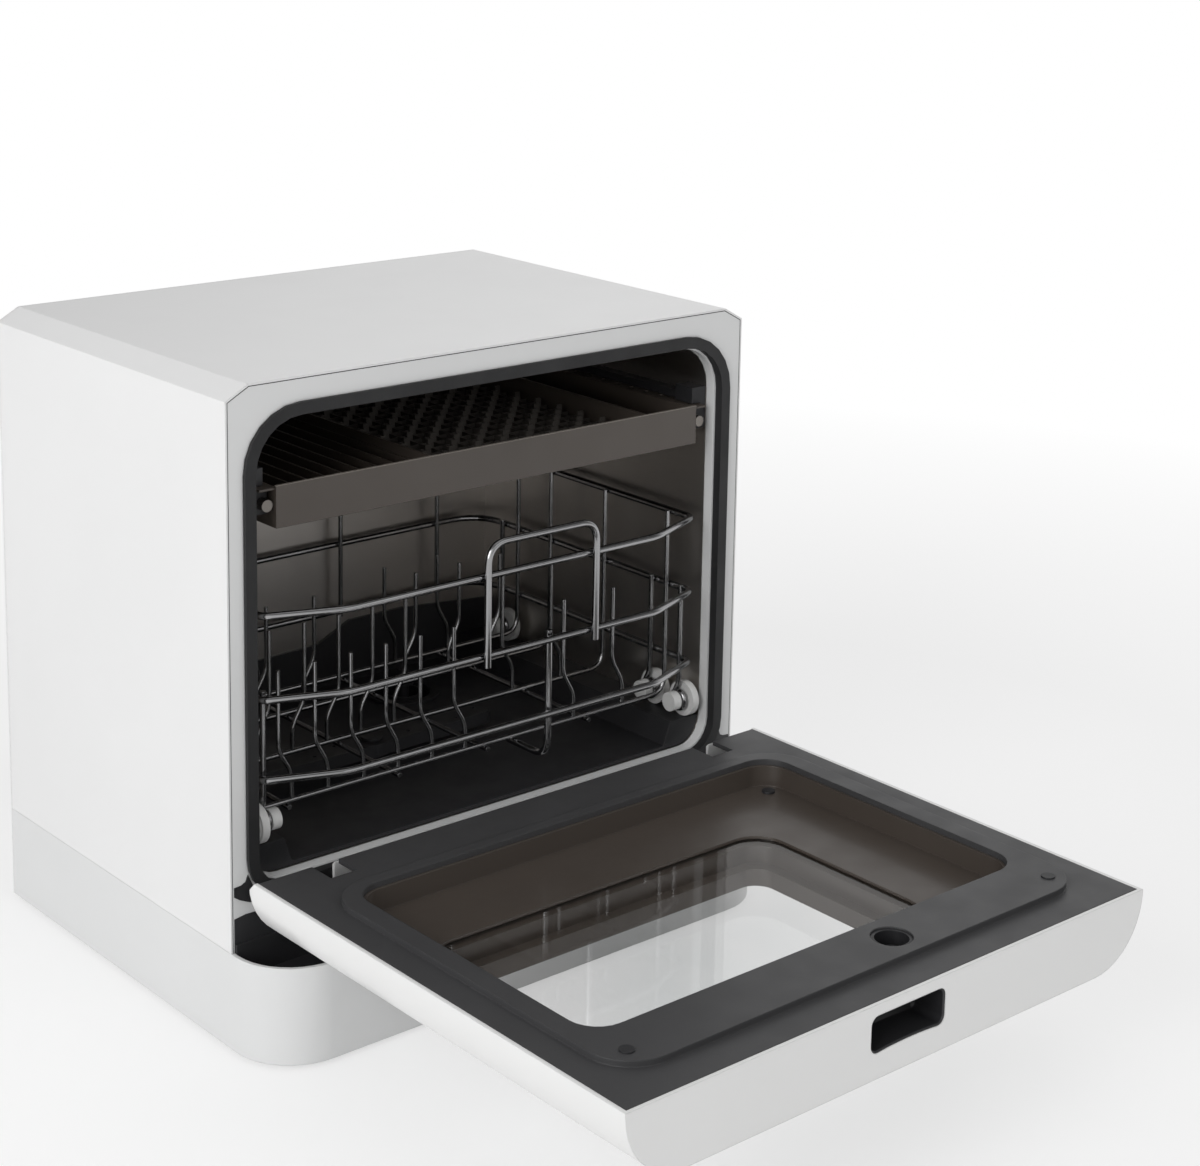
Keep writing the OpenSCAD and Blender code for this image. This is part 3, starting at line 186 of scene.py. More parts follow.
def make_materials():
    m = {}
    m["white_enamel"] = finish("white_enamel", (0.80, 0.80, 0.80), 0.34, spread=0.02, grain=260, grain_depth=0.02,
                               coat=0.15, edge=0.0012, tint=0.008)
    m["white_plastic"] = finish("white_plastic", (0.80, 0.80, 0.795), 0.30, spread=0.02, grain=420,
                                grain_depth=0.01, coat=0.15, edge=0.0012, tint=0.008)
    m["grey_plastic"] = finish("grey_plastic", (0.72, 0.725, 0.725), 0.36, spread=0.03, grain=520,
                               grain_depth=0.02, coat=0.1, edge=0.001, tint=0.012)
    m["black_plastic"] = finish("black_plastic", (0.020, 0.020, 0.022), 0.45, grain=700, grain_depth=0.04,
                                tint=0.12)
    m["dark_liner"] = finish("dark_liner", (0.050, 0.050, 0.052), 0.44, spread=0.04, grain=650, grain_depth=0.025,
                             edge=0.0012, tint=0.06)
    m["bronze_plastic"] = finish("bronze_plastic", (0.066, 0.054, 0.045), 0.38, spread=0.04, grain=600,
                                 grain_depth=0.025, edge=0.0008, tint=0.06, coat=0.1)
    m["gasket_rubber"] = finish("gasket_rubber", (0.013, 0.013, 0.014), 0.62, grain=900, grain_depth=0.05, tint=0.15)
    m["mat_rubber"] = finish("mat_rubber", (0.062, 0.055, 0.048), 0.52, spread=0.04, grain=700, grain_depth=0.03,
                             edge=0.0006, tint=0.08)
    # Lighter bronze for the painted highlight line along the tray's folded top edges
    m["highlight_bronze"] = finish("highlight_bronze", (0.24, 0.215, 0.19), 0.35, grain=600, edge=0.0002, tint=0.08)
    m["tub_steel"] = finish("tub_steel", (0.58, 0.55, 0.52), 0.36, spread=0.03, grain=120, grain_depth=0.012,
                            metallic=1.0, stretch=(1, 1, 16), tint=0.03)
    m["hinge_steel"] = finish("hinge_steel", (0.20, 0.185, 0.17), 0.30, spread=0.04, grain=300, grain_depth=0.02,
                              metallic=1.0, tint=0.05)
    m["basket_wire"] = finish("basket_wire", (0.34, 0.34, 0.345), 0.16, spread=0.03, grain=500, grain_depth=0.01,
                              metallic=1.0, tint=0.08)
    m["wheel_plastic"] = finish("wheel_plastic", (0.76, 0.76, 0.75), 0.38, spread=0.03, grain=500,
                                grain_depth=0.015, edge=0.0008, subsurface=0.25, tint=0.015)
    m["window_glass"] = clear_pane("window_glass")
    m["smoked_panel"] = finish("smoked_panel", (0.012, 0.012, 0.014), 0.10, spread=0.02, coat=0.5, tint=0.1)
    m["circuit_board"] = finish("circuit_board", (0.02, 0.11, 0.05), 0.5, tint=0.15)
    m["hose_grey"] = finish("hose_grey", (0.075, 0.08, 0.085), 0.46, grain=500, grain_depth=0.03, tint=0.08)
    m["clear_tube"] = finish("clear_tube", (0.74, 0.76, 0.76), 0.24, spread=0.03, subsurface=0.4, coat=0.2,
                             tint=0.02)
    return m


def dress(materials):
    for part in frame["record"]["subparts"]:
        obj = nodes[part["node"]]
        obj.data.materials.clear()
        obj.data.materials.append(materials[part["material_slot"]])


# Copies of the frame's meshes whose curved walls shade as one smooth surface
SMOOTHED = (
    "base_moulding", "toe_cover", "front_frame", "door_gasket", "tub_shell", "door_shell", "door_liner",
    "door_pan", "window_frame", "screw_caps", "tray_rods", "spray_arm",
    "wheel_front_left", "wheel_mid_left", "wheel_rear_left",
    "wheel_front_right", "wheel_mid_right", "wheel_rear_right",
)
CREASE = math.radians(28)


def smooth_normals(mesh):
    """Corner normals weighted by face area, so wide flat faces stay flat beside a rounded corner."""
    mesh.shade_smooth()
    faces_at = {}
    for face in mesh.polygons:
        for v in face.vertices:
            faces_at.setdefault(v, []).append(face)
    limit = math.cos(CREASE)
    normals = [None] * len(mesh.loops)
    for face in mesh.polygons:
        for loop in face.loop_indices:
            total = Vector((0, 0, 0))
            for other in faces_at[mesh.loops[loop].vertex_index]:
                if face.normal.dot(other.normal) >= limit:
                    total += other.normal * other.area
            normals[loop] = total.normalized() if total.length else face.normal
    mesh.normals_split_custom_set(normals)


# Finger pocket in the door's free edge, as seen in the photograph
POCKET_HALF = 31 * MM
POCKET_TOP = 117 * MM
POCKET_HIGH = 22 * MM
POCKET_ARCH = 1.6 * MM
POCKET_ROUND = 5.5 * MM
POCKET_DEEP = 24 * MM


def pocket_shape(inset=0.0):
    """Outline of the pocket's mouth in x and z, anticlockwise, shrunk by `inset`."""
    half, top, r = POCKET_HALF - inset, POCKET_TOP - inset, POCKET_ROUND - inset
    middle = POCKET_TOP - POCKET_HIGH + inset

    def low(x):
        return middle - POCKET_ARCH * (x / POCKET_HALF) ** 2

    points = []
    reach = half - r
    for i in range(1, 12):
        x = reach * (i / 6 - 1)
        points.append((x, low(x)))
    for cx, cz, start in ((reach, low(reach) + r, -90), (reach, top - r, 0), (-reach, top - r, 90),
                          (-reach, low(reach) + r, 180)):
        for i in range(8):
            a = math.radians(start + i * 90 / 7)
            points.append((cx + r * math.cos(a), cz + r * math.sin(a)))
    return points


def reshape_pocket_hole(bm):
    """Turns the shell's square-cornered hole into the rounded mouth of the finger pocket."""
    front = min(v.co.y for v in bm.verts)
    shell = 2.5 * MM
    edge_half, edge_top = 32 * MM, 115 * MM
    hole = [v for v in bm.verts if abs(v.co.x) < edge_half + 0.1 * MM and v.co.y < front + shell + 0.1 * MM
            and 92 * MM < v.co.z < edge_top + 0.1 * MM]
    inside = set(hole)
    walls = [f for f in bm.faces if abs(f.normal.y) < 0.5 and all(v in inside for v in f.verts)]
    bmesh.ops.delete(bm, geom=walls, context="FACES_ONLY")
    rims = []
    for y in (front, front + shell):
        ring = [v for v in hole if v.is_valid and abs(v.co.y - y) < 0.1 * MM]
        upper = sorted((v for v in ring if v.co.z > edge_top - 0.1 * MM), key=lambda v: -v.co.x)
        lower = sorted((v for v in ring if v not in upper), key=lambda v: v.co.x)
        for v in upper:
            v.co.z = POCKET_TOP + 2 * MM
        for v in lower:
            v.co.z = POCKET_TOP - POCKET_HIGH - POCKET_ARCH - 2 * MM
        mouth = [bm.verts.new((x, y, z)) for x, z in pocket_shape()]
        outer = lower + upper
        corners = outer + mouth
        flat = [[Vector((v.co.x, v.co.z, 0)) for v in loop] for loop in (outer, mouth)]
        for triangle in geometry.tessellate_polygon(flat):
            bm.faces.new([corners[i] for i in triangle])
        rims.append(mouth)
    for k in range(len(rims[0])):
        j = (k + 1) % len(rims[0])
        bm.faces.new((rims[0][k], rims[0][j], rims[1][j], rims[1][k]))
    bmesh.ops.recalc_face_normals(bm, faces=bm.faces)


RESHAPED = {"door_shell": reshape_pocket_hole}


def smooth_copy(name, body):
    source = nodes[name]
    bm = bmesh.new()
    bm.from_mesh(source.data)
    bmesh.ops.transform(bm, matrix=source.matrix_world, verts=bm.verts)
    bmesh.ops.remove_doubles(bm, verts=bm.verts, dist=1e-6)
    bmesh.ops.dissolve_degenerate(bm, edges=bm.edges, dist=1e-7)
    if name in RESHAPED:
        RESHAPED[name](bm)
    mesh = bpy.data.meshes.new(name + "_smooth")
    bm.to_mesh(mesh)
    bm.free()
    if "custom_normal" in mesh.attributes:
        mesh.attributes.remove(mesh.attributes["custom_normal"])
    smooth_normals(mesh)
    obj = bpy.data.objects.new(name + "_smooth", mesh)
    bpy.context.scene.collection.objects.link(obj)
    mesh.materials.clear()
    mesh.materials.append(source.data.materials[0])
    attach(obj, body)
    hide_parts(name)


def body_of(name):
    return next(body for body, names in frame["record"]["behaviour"]["bodies"].items() if name in names)


def smooth_curved_parts():
    for name in SMOOTHED:
        smooth_copy(name, body_of(name))


# Round wire pieces that stand for the faceted wires of the frame
def unit(v):
    return v.normalized()


def bend(points, cut, steps=6):
    """The path with each inner corner rounded by a short curve that starts `cut` before it."""
    p = [Vector(q) for q in points]
    out = [p[0]]
    for i in range(1, len(p) - 1):
        a = p[i] + unit(p[i - 1] - p[i]) * cut
        b = p[i] + unit(p[i + 1] - p[i]) * cut
        for k in range(steps + 1):
            t = k / steps
            out.append(a * (1 - t) ** 2 + p[i] * 2 * t * (1 - t) + b * t * t)
    out.append(p[-1])
    return out


def wire_piece(name, node, paths, diameter, body, material):
    """One curve object with a round section along each path; a path is (points, closed)."""
    data = bpy.data.curves.new(name, "CURVE")
    data.dimensions = "3D"
    data.bevel_depth = diameter / 2
    data.bevel_resolution = 5
    data.use_fill_caps = True
    for points, closed in paths:
        spline = data.splines.new("POLY")
        spline.points.add(len(points) - 1)
        for q, point in zip(points, spline.points):
            point.co = (q[0], q[1], q[2], 1)
        spline.use_cyclic_u = closed
        spline.use_smooth = True
    obj = bpy.data.objects.new(name, data)
    bpy.context.scene.collection.objects.link(obj)
    data.materials.append(material)
    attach(obj, body)
    if node:
        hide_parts(node)
    return obj


# Basket sizes, as in the frame, in metres
RAIL_D = 5 * MM
WIRE_D = 3.6 * MM
TINE_D = 3 * MM
LEG_D = 4 * MM
WELD = 0.1 * MM
BOW = 20 * MM
BOW_RUN = 52 * MM
TINE_STEP = 10 * MM
NECK_D = 8 * MM


def basket_sizes():
    """Places of the basket's wires, worked out from the boxes of its frame nodes."""
    rail_lo, rail_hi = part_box("top_rail")
    low_lo, low_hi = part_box("side_rails")
    cross_lo, cross_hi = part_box("cross_wires")
    tine_lo, tine_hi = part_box("plate_tines")
    cup_lo, cup_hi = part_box("cup_tines")
    b = {}
    b["half"] = rail_hi.x - RAIL_D / 2
    b["rear"] = rail_hi.y - RAIL_D / 2
    b["bow_y"] = rail_lo.y + RAIL_D / 2
    b["front"] = b["bow_y"] + BOW
    b["top"] = (rail_lo.z + rail_hi.z) / 2
    b["mid"] = low_hi.z - RAIL_D / 2
    b["low"] = low_lo.z + RAIL_D / 2
    b["floor"] = cross_lo.z + WIRE_D / 2
    b["posts"] = [b["front"] + d * MM for d in (22, 92, 156, 196)]
    b["post_x"] = b["half"] - RAIL_D / 2 - WIRE_D / 2 - WELD
    b["post_top"] = cross_hi.z
    b["tine_top"] = tine_hi.z
    return b


def rail_path(b, z):
    h, f, r = b["half"], b["front"], b["rear"]
    middle = (f + r) / 2
    rear = bend([(h, middle, z), (h, r, z), (-h, r, z), (-h, middle, z)], 34 * MM, 10)
    front = bend([(-h, middle, z), (-h, f, z), (-h + BOW_RUN, b["bow_y"], z), (h - BOW_RUN, b["bow_y"], z),
                  (h, f, z), (h, middle, z)], 7 * MM, 6)
    return rear + front[1:-1]


def tine_path(b, x, y, step, top):
    z = b["floor"] + WIRE_D / 2
    return bend([(x, y, z), (x, y, z + 17 * MM), (x + step, y, z + 34 * MM), (x + step, y, top)], 6 * MM, 4)


def leg_path(x, y, axle_z, top):
    """A leg that comes straight down and then wraps the wheel's neck as a round eye."""
    r = NECK_D / 2 + 0.6 * MM + LEG_D / 2
    path = [Vector((x, y, top)), Vector((x, y, axle_z + r + 9 * MM)), Vector((x, y + 1 * MM, axle_z + r + 5 * MM))]
    for i in range(21):
        a = math.radians(48 - i * 15.5)
        path.append(Vector((x, y + r * math.cos(a), axle_z + r * math.sin(a))))
    return path


def make_basket():
    metal = MATERIALS["basket_wire"]
    b = basket_sizes()

    def piece(name, node, paths, diameter):
        return wire_piece(name, node, paths, diameter, "basket", metal)

    piece("top_rail_wire", "top_rail", [(rail_path(b, b["top"]), True)], RAIL_D)
    piece("side_rail_wires", "side_rails", [(rail_path(b, b["mid"]), True), (rail_path(b, b["low"]), True)], RAIL_D)
    px, top, low = b["post_x"], b["post_top"], b["floor"]
    hoops = [(bend([(-px, y, top), (-px, y, low), (px, y, low), (px, y, top)], 14 * MM, 8), False)
             for y in b["posts"]]
    piece("cross_wire_hoops", "cross_wires", hoops, WIRE_D)
    rear_y = b["rear"] - RAIL_D / 2 - WIRE_D / 2 - WELD
    half = b["half"]
    posts = [([(half * f, rear_y, top), (half * f, rear_y, b["low"] - 3 * MM)], False)
             for f in (-0.75, -0.25, 0.25, 0.75)]
    under = low - WIRE_D
    posts += [([(half * f, b["posts"][0] - 3 * MM, under), (half * f, b["posts"][3] + 3 * MM, under)], False)
              for f in (-0.82, -0.34, 0.07, 0.57)]
    piece("rear_post_wires", "rear_posts", posts, WIRE_D)

    def tine(x, row, step, drop=0):
        return tine_path(b, x, b["posts"][row], step, b["tine_top"] - drop * MM), False

    first, pitch = 36.5 * MM - half, 28.3 * MM
    plates = []
    for i in range(6):
        plates.append(tine(first + pitch * i, 0, -TINE_STEP))
        plates.append(tine(first - TINE_STEP + pitch * i, 1, TINE_STEP))
    piece("plate_tine_wires", "plate_tines", plates, TINE_D)
    cups = [tine(half * f, row, -TINE_STEP) for f in (0.5, 0.75) for row in (0, 1)]
    cups += [tine(half * f, 2, TINE_STEP, 8) for f in (-0.71, -0.49, -0.27, 0.22, 0.44, 0.65)]
    cups += [tine(half * f, 3, -TINE_STEP, 14) for f in (-0.6, -0.33, 0.33, 0.6)]
    piece("cup_tine_wires", "cup_tines", cups, TINE_D)

    loop_lo, loop_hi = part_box("basket_handle")
    grip_y = loop_lo.y + RAIL_D / 2
    left, right = loop_lo.x + RAIL_D / 2, loop_hi.x - RAIL_D / 2
    rest_x = (left + right) / 2 + 14 * MM
    rest_y = b["bow_y"] + RAIL_D + WELD
    rest_z = loop_lo.z + RAIL_D / 2
    loop = bend([(left, grip_y, b["mid"] - 6 * MM), (left, grip_y, loop_hi.z - RAIL_D / 2),
                 (right, grip_y, loop_hi.z - RAIL_D / 2), (right, grip_y, b["mid"] - 6 * MM)], 15 * MM, 8)
    rest = bend([(rest_x, rest_y, b["mid"] + 5 * MM), (rest_x, rest_y, rest_z),
                 (rest_x, loop_hi.y, rest_z)], 15 * MM, 8)
    piece("handle_and_rest_wires", "basket_handle", [(loop, False), (rest, False)], RAIL_D)

    legs = []
    for wheel in ("wheel_front_left", "wheel_mid_left", "wheel_rear_left",
                  "wheel_front_right", "wheel_mid_right", "wheel_rear_right"):
        lo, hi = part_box(wheel)
        x = b["half"] - RAIL_D / 2 - LEG_D / 2 - WELD
        x = math.copysign(x, lo.x)
        legs.append((leg_path(x, (lo.y + hi.y) / 2, (lo.z + hi.z) / 2, b["mid"] + 4 * MM), False))
    piece("wheel_leg_wires", "wheel_legs", legs, LEG_D)


# Hoses, at their real length, on the counter behind the machine
DRAIN_D = 22 * MM
TUBE_D = 8 * MM


def ease(t):
    return t * t * (3 - 2 * t)


def lanes(turns, stops):
    """Value that stays on each turn's lane and slides to the next one over the turn's last sixth."""
    whole = min(int(turns), len(stops) - 2)
    part = turns - whole
    if part < 5 / 6:
        return stops[whole]
    return stops[whole] + (stops[whole + 1] - stops[whole]) * ease((part - 5 / 6) * 6)


def hose_route(fitting, coil_y, radius, way, turns, radii, heights, drop_steps=18, per_turn=48):
    """Straight back from the fitting, down onto the counter, then round the coil."""
    start, path = Vector(fitting), []
    for i in range(drop_steps):
        t = i / drop_steps
        path.append(Vector((start.x, start.y + (coil_y - start.y) * t,
                            start.z + (heights[0] - start.z) * ease(t))))
    centre_x = start.x - way * radius
    for i in range(int(turns * per_turn) + 1):
        turn = i / per_turn
        a = turn * math.tau
        r = lanes(turn, radii)
        if turn < 0.12:
            r = radius + (radii[0] - radius) * ease(turn / 0.12)
        path.append(Vector((centre_x + way * r * math.cos(a), coil_y + r * math.sin(a), lanes(turn, heights))))
    return path


def tube_mesh(name, path, radius_at, sides=20):
    """Tube round a path; radius_at gives the radius at a distance along it."""
    mesh = bpy.data.meshes.new(name)
    bm = bmesh.new()
    rings, along = [], 0.0
    for i, p in enumerate(path):
        if i:
            along += (p - path[i - 1]).length
        ahead = (path[min(i + 1, len(path) - 1)] - path[max(i - 1, 0)]).normalized()
        side = ahead.cross(Vector((0, 0, 1))).normalized()
        up = side.cross(ahead)
        r = radius_at(along)
        rings.append([bm.verts.new(p + side * r * math.cos(k * math.tau / sides)
                                   + up * r * math.sin(k * math.tau / sides)) for k in range(sides)])
    for a, b in zip(rings, rings[1:]):
        for k in range(sides):
            bm.faces.new((a[k], a[(k + 1) % sides], b[(k + 1) % sides], b[k]))
    bm.faces.new(rings[0])
    bm.faces.new(list(reversed(rings[-1])))
    bmesh.ops.recalc_face_normals(bm, faces=bm.faces)
    bm.to_mesh(mesh)
    bm.free()
    mesh.shade_smooth()
    obj = bpy.data.objects.new(name, mesh)
    bpy.context.scene.collection.objects.link(obj)
    return obj


def resample(path, step):
    out, carry = [path[0]], 0.0
    for p, q in zip(path, path[1:]):
        gap = (q - p).length
        at = step - carry
        while at <= gap:
            out.append(p + (q - p) * (at / gap))
            at += step
        carry = (carry + gap) % step
    return out


def lathe(name, profile, place, along, material, body, sides=32):
    """Turned piece: profile is (distance along the axis, radius) pairs."""
    bm = bmesh.new()
    along = Vector(along).normalized()
    side = along.cross(Vector((0.1, 0.2, 1))).normalized()
    up = side.cross(along)
    rings = []
    for at, r in profile:
        centre = Vector(place) + along * at
        rings.append([bm.verts.new(centre + side * r * math.cos(k * math.tau / sides)
                                   + up * r * math.sin(k * math.tau / sides)) for k in range(sides)])
    for a, b in zip(rings, rings[1:]):
        for k in range(sides):
            bm.faces.new((a[k], a[(k + 1) % sides], b[(k + 1) % sides], b[k]))
    bmesh.ops.recalc_face_normals(bm, faces=bm.faces)
    mesh = bpy.data.meshes.new(name)
    bm.to_mesh(mesh)
    bm.free()
    mesh.shade_smooth()
    obj = bpy.data.objects.new(name, mesh)
    bpy.context.scene.collection.objects.link(obj)
    mesh.materials.append(material)
    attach(obj, body)
    return obj


def make_hoses():
    spigot_lo, spigot_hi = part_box("drain_spigot")
    coil_lo, coil_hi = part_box("drain_coil")
    r = 115 * MM
    exit_point = ((spigot_lo.x + spigot_hi.x) / 2, spigot_hi.y + 0.6 * MM, (spigot_lo.z + spigot_hi.z) / 2)
    coil_y = (coil_lo.y + coil_hi.y) / 2
    low = DRAIN_D / 2 + 0.1 * MM
    route = hose_route(exit_point, coil_y, r, 1, 1.86, [r, r, r], [low, low + DRAIN_D - 0.4 * MM, low + DRAIN_D])
    fine = resample(route, 1.3 * MM)
    rib = 5.2 * MM

    def ribbed(along):
        return DRAIN_D / 2 * (0.93 + 0.07 * math.sin(along / rib * math.tau))

    hose = tube_mesh("drain_hose_ribbed", fine, ribbed)
    hose.data.materials.append(MATERIALS["hose_grey"])
    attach(hose, "cabinet")
    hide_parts("drain_hose", "drain_coil")
    end_way = (route[-1] - route[-2]).normalized()
    r0 = DRAIN_D / 2
    cuff = lathe("drain_hose_cuff",
                 [(-0.016, r0 * 0.90), (-0.016, r0), (-0.002, r0), (0, r0 * 0.93), (0.018, r0 * 0.88),
                  (0.019, r0 * 0.84), (0.019, r0 * 0.7), (0.004, r0 * 0.7)],
                 route[-1], end_way, MATERIALS["hose_grey"], "cabinet")

    fit_lo, fit_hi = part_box("inlet_fitting")
    tube_lo, tube_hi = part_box("inlet_coil")
    r = 48 * MM
    exit_point = ((fit_lo.x + fit_hi.x) / 2, fit_hi.y + 0.6 * MM, (fit_lo.z + fit_hi.z) / 2)
    low = TUBE_D / 2 + 0.3 * MM
    out_r, in_r = r + TUBE_D / 2 - 0.2 * MM, r - TUBE_D / 2
    route = hose_route(exit_point, (tube_lo.y + tube_hi.y) / 2, r, -1, 4.8,
                       [out_r, in_r, in_r, out_r, out_r, out_r],
                       [low, low, low + TUBE_D - 0.2 * MM, low + TUBE_D - 0.2 * MM, low + 2 * TUBE_D - 0.5 * MM,
                        low + 2 * TUBE_D - 0.5 * MM])
    tube = tube_mesh("inlet_tube_clear", resample(route, 3 * MM), lambda along: TUBE_D / 2, 16)
    tube.data.materials.append(MATERIALS["clear_tube"])
    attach(tube, "cabinet")
    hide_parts("inlet_tube", "inlet_coil")


def make_hose_details():
    """Collar that holds the drain hose on its spigot, and the twisted tie round its coil."""
    spigot_lo, spigot_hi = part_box("drain_spigot")
    centre = ((spigot_lo.x + spigot_hi.x) / 2, spigot_hi.y, (spigot_lo.z + spigot_hi.z) / 2)
    r = DRAIN_D / 2
    lathe("hose_collar",
          [(0.0007, r * 0.6), (0.0007, r + 0.0012), (0.0018, r + 0.0019), (0.0092, r + 0.0019),
           (0.0104, r + 0.0012), (0.0104, r * 0.97)],
          centre, (0, 1, -0.03), MATERIALS["black_plastic"], "cabinet")
    coil_lo, coil_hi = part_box("drain_coil")
    ring = coil_lo.x + DRAIN_D / 2
    middle_y = (coil_lo.y + coil_hi.y) / 2
    wide, high = r + 0.9 * MM, DRAIN_D + 0.9 * MM
    loop = []
    for i in range(40):
        a = i / 40 * math.tau
        c, s = math.cos(a), math.sin(a)
        height = DRAIN_D + high * math.copysign(abs(s) ** 0.8, s)
        loop.append((ring + wide * math.copysign(abs(c) ** 0.6, c), middle_y, max(height, 0.8 * MM)))
    top = DRAIN_D + high
    twist = [(ring + 0.8 * MM * math.cos(i * 1.3), middle_y + 0.8 * MM * math.sin(i * 1.3), top + i * 1.1 * MM)
             for i in range(9)]
    wire_piece("hose_tie", None, [(loop, True), (twist, False)], 1.4 * MM, "cabinet",
               MATERIALS["white_plastic"])


def mesh_piece(name, bm, material, body, replaced=None):
    """Object made of a finished bmesh, with smooth curved faces."""
    bmesh.ops.recalc_face_normals(bm, faces=bm.faces)
    mesh = bpy.data.meshes.new(name)
    bm.to_mesh(mesh)
    bm.free()
    smooth_normals(mesh)
    obj = bpy.data.objects.new(name, mesh)
    bpy.context.scene.collection.objects.link(obj)
    mesh.materials.append(material)
    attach(obj, body)
    if replaced:
        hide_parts(replaced)
    return obj


def make_finger_cup():
    """Black cup behind the pocket's mouth, with a rounded back."""
    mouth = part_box("handle_pocket")[0].y + 0.4 * MM
    rings = ((0.05, POCKET_DEEP), (0.05, 0), (0.5, 0), (1.2, 0.8 * MM), (1.3, 19 * MM), (2.0, 21.4 * MM),
             (3.6, 22.6 * MM))
    bm = bmesh.new()
    loops = [[bm.verts.new((x, mouth + deep, z)) for x, z in pocket_shape(inset * MM)] for inset, deep in rings]
    for a, b in zip(loops, loops[1:]):
        for k in range(len(a)):
            j = (k + 1) % len(a)
            bm.faces.new((a[k], a[j], b[j], b[k]))
    bm.faces.new(loops[0])
    bm.faces.new(loops[-1])
    mesh_piece("finger_cup", bm, MATERIALS["black_plastic"], "door", "handle_pocket")


MAT_PITCH = (11.2 * MM, 12.2 * MM)
MAT_SHEET = 1.2 * MM
MAT_RIB = 1.5 * MM
MAT_RIB_TOP = 4.6 * MM
MAT_TAB = (2.2 * MM, 5.4 * MM)


def block(bm, lo, hi, taper=0.0):
    """Box from corner to corner whose top is narrower by `taper` on each side."""
    corners = []
    for z, cut in ((lo[2], 0), (hi[2], taper)):
        corners.append([bm.verts.new(p) for p in (
            (lo[0] + cut, lo[1] + cut, z), (hi[0] - cut, lo[1] + cut, z),
            (hi[0] - cut, hi[1] - cut, z), (lo[0] + cut, hi[1] - cut, z))])
    low, high = corners
    bm.faces.new(list(reversed(low)))
    bm.faces.new(high)
    for k in range(4):
        j = (k + 1) % 4
        bm.faces.new((low[k], low[j], high[j], high[k]))


def make_cutlery_mat():
    """Waffle mat: a thin sheet with crossing ribs and a standing tab at every second crossing."""
    lo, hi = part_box("peg_mat")
    bm = bmesh.new()
    block(bm, lo, (hi.x, hi.y, lo.z + MAT_SHEET))
    across = int((hi.x - lo.x) / MAT_PITCH[0])
    along = int((hi.y - lo.y) / MAT_PITCH[1])
    xs = [(lo.x + hi.x) / 2 + (i - (across - 1) / 2) * MAT_PITCH[0] for i in range(across)]
    ys = [(lo.y + hi.y) / 2 + (i - (along - 1) / 2) * MAT_PITCH[1] for i in range(along)]
    base, edge = lo.z + MAT_SHEET / 2, 0.3 * MM
    for x in xs:
        block(bm, (x - MAT_RIB / 2, lo.y + edge, base), (x + MAT_RIB / 2, hi.y - edge, lo.z + MAT_RIB_TOP), 0.2 * MM)
    for y in ys:
        block(bm, (lo.x + edge, y - MAT_RIB / 2, base), (hi.x - edge, y + MAT_RIB / 2, lo.z + MAT_RIB_TOP - 0.4 * MM),
              0.2 * MM)
    thin, wide = MAT_TAB[0] / 2, MAT_TAB[1] / 2
    for i, x in enumerate(xs):
        for y in ys[i % 2::2]:
            block(bm, (x - wide, y - thin, base), (x + wide, y + thin, hi.z), 0.35 * MM)
    mesh_piece("cutlery_mat", bm, MATERIALS["mat_rubber"], "tray", "peg_mat")


def sharp_top_edges(name, height):
    """Pairs of points for the crisp edges of a frame mesh that lie at a height."""
    source = nodes[name]
    bm = bmesh.new()
    bm.from_mesh(source.data)
    bmesh.ops.transform(bm, matrix=source.matrix_world, verts=bm.verts)
    bmesh.ops.remove_doubles(bm, verts=bm.verts, dist=1e-6)
    pairs = []
    for edge in bm.edges:
        if len(edge.link_faces) != 2 or edge.calc_face_angle(0) < math.radians(50):
            continue
        if all(abs(v.co.z - height) < 0.05 * MM for v in edge.verts):
            pairs.append([v.co.copy() for v in edge.verts])
    bm.free()
    return pairs


def make_tray_edge_highlight():
    """Painted highlight: a thin bright wire of lighter bronze along the folded top edges of the cutlery tray,
    standing in for their shine.
    """
    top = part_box("tray_shell")[1].z
    sink = 0.12 * MM
    down = Vector((0, 0, sink))
    paths = [([a - down, b - down], False) for a, b in sharp_top_edges("tray_shell", top)]
    wire_piece("tray_edge_highlight", None, paths, 0.5 * MM, "tray", MATERIALS["highlight_bronze"])


def make_casing_seam():
    """Dark joint line between the painted casing and the front frame."""
    source = nodes["front_frame"]
    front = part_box("front_frame")[0].y
    face = [source.matrix_world @ v.co for v in source.data.vertices]
    face = [Vector((p.x, p.z)) for p in face if p.y < front + 0.1 * MM]
    order = geometry.convex_hull_2d(face)
    loop = [(face[i].x, front + 0.2 * MM, face[i].y) for i in order]
    wire_piece("casing_seam", None, [(loop, True)], 0.7 * MM, "cabinet", MATERIALS["gasket_rubber"])


# Outlines in x and z of the black covers over the frame's left lower corner, mirrored for the right
HINGE_COVER = ((-212.6, 68.3), (-176, 68.3), (-176, 91.2), (-192, 91.6), (-204, 91.9), (-212.6, 90.6))
HINGE_LIP = ((-212.6, 105.4), (-208.5, 102.6), (-203, 100.0), (-196, 97.4), (-188, 95.2), (-180, 93.6),
             (-176, 93.2), (-176, 104), (-198, 108), (-202.5, 118), (-204.2, 113.6), (-207.5, 112.0), (-212.6, 111.6))


def make_hinge_covers():
    """Thin black covers beside the door's hinges, on the face of the front frame."""
    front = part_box("front_frame")[0].y
    bm = bmesh.new()
    for outline in (HINGE_COVER, HINGE_LIP):
        for way in (1, -1):
            near, far = ([bm.verts.new((way * x * MM, y, z * MM)) for x, z in outline]
                         for y in (front - 0.6 * MM, front + 0.2 * MM))
            bm.faces.new(near)
            bm.faces.new(far)
            for k in range(len(near)):
                j = (k + 1) % len(near)
                bm.faces.new((near[k], near[j], far[j], far[k]))
    mesh_piece("hinge_covers", bm, MATERIALS["black_plastic"], "cabinet")


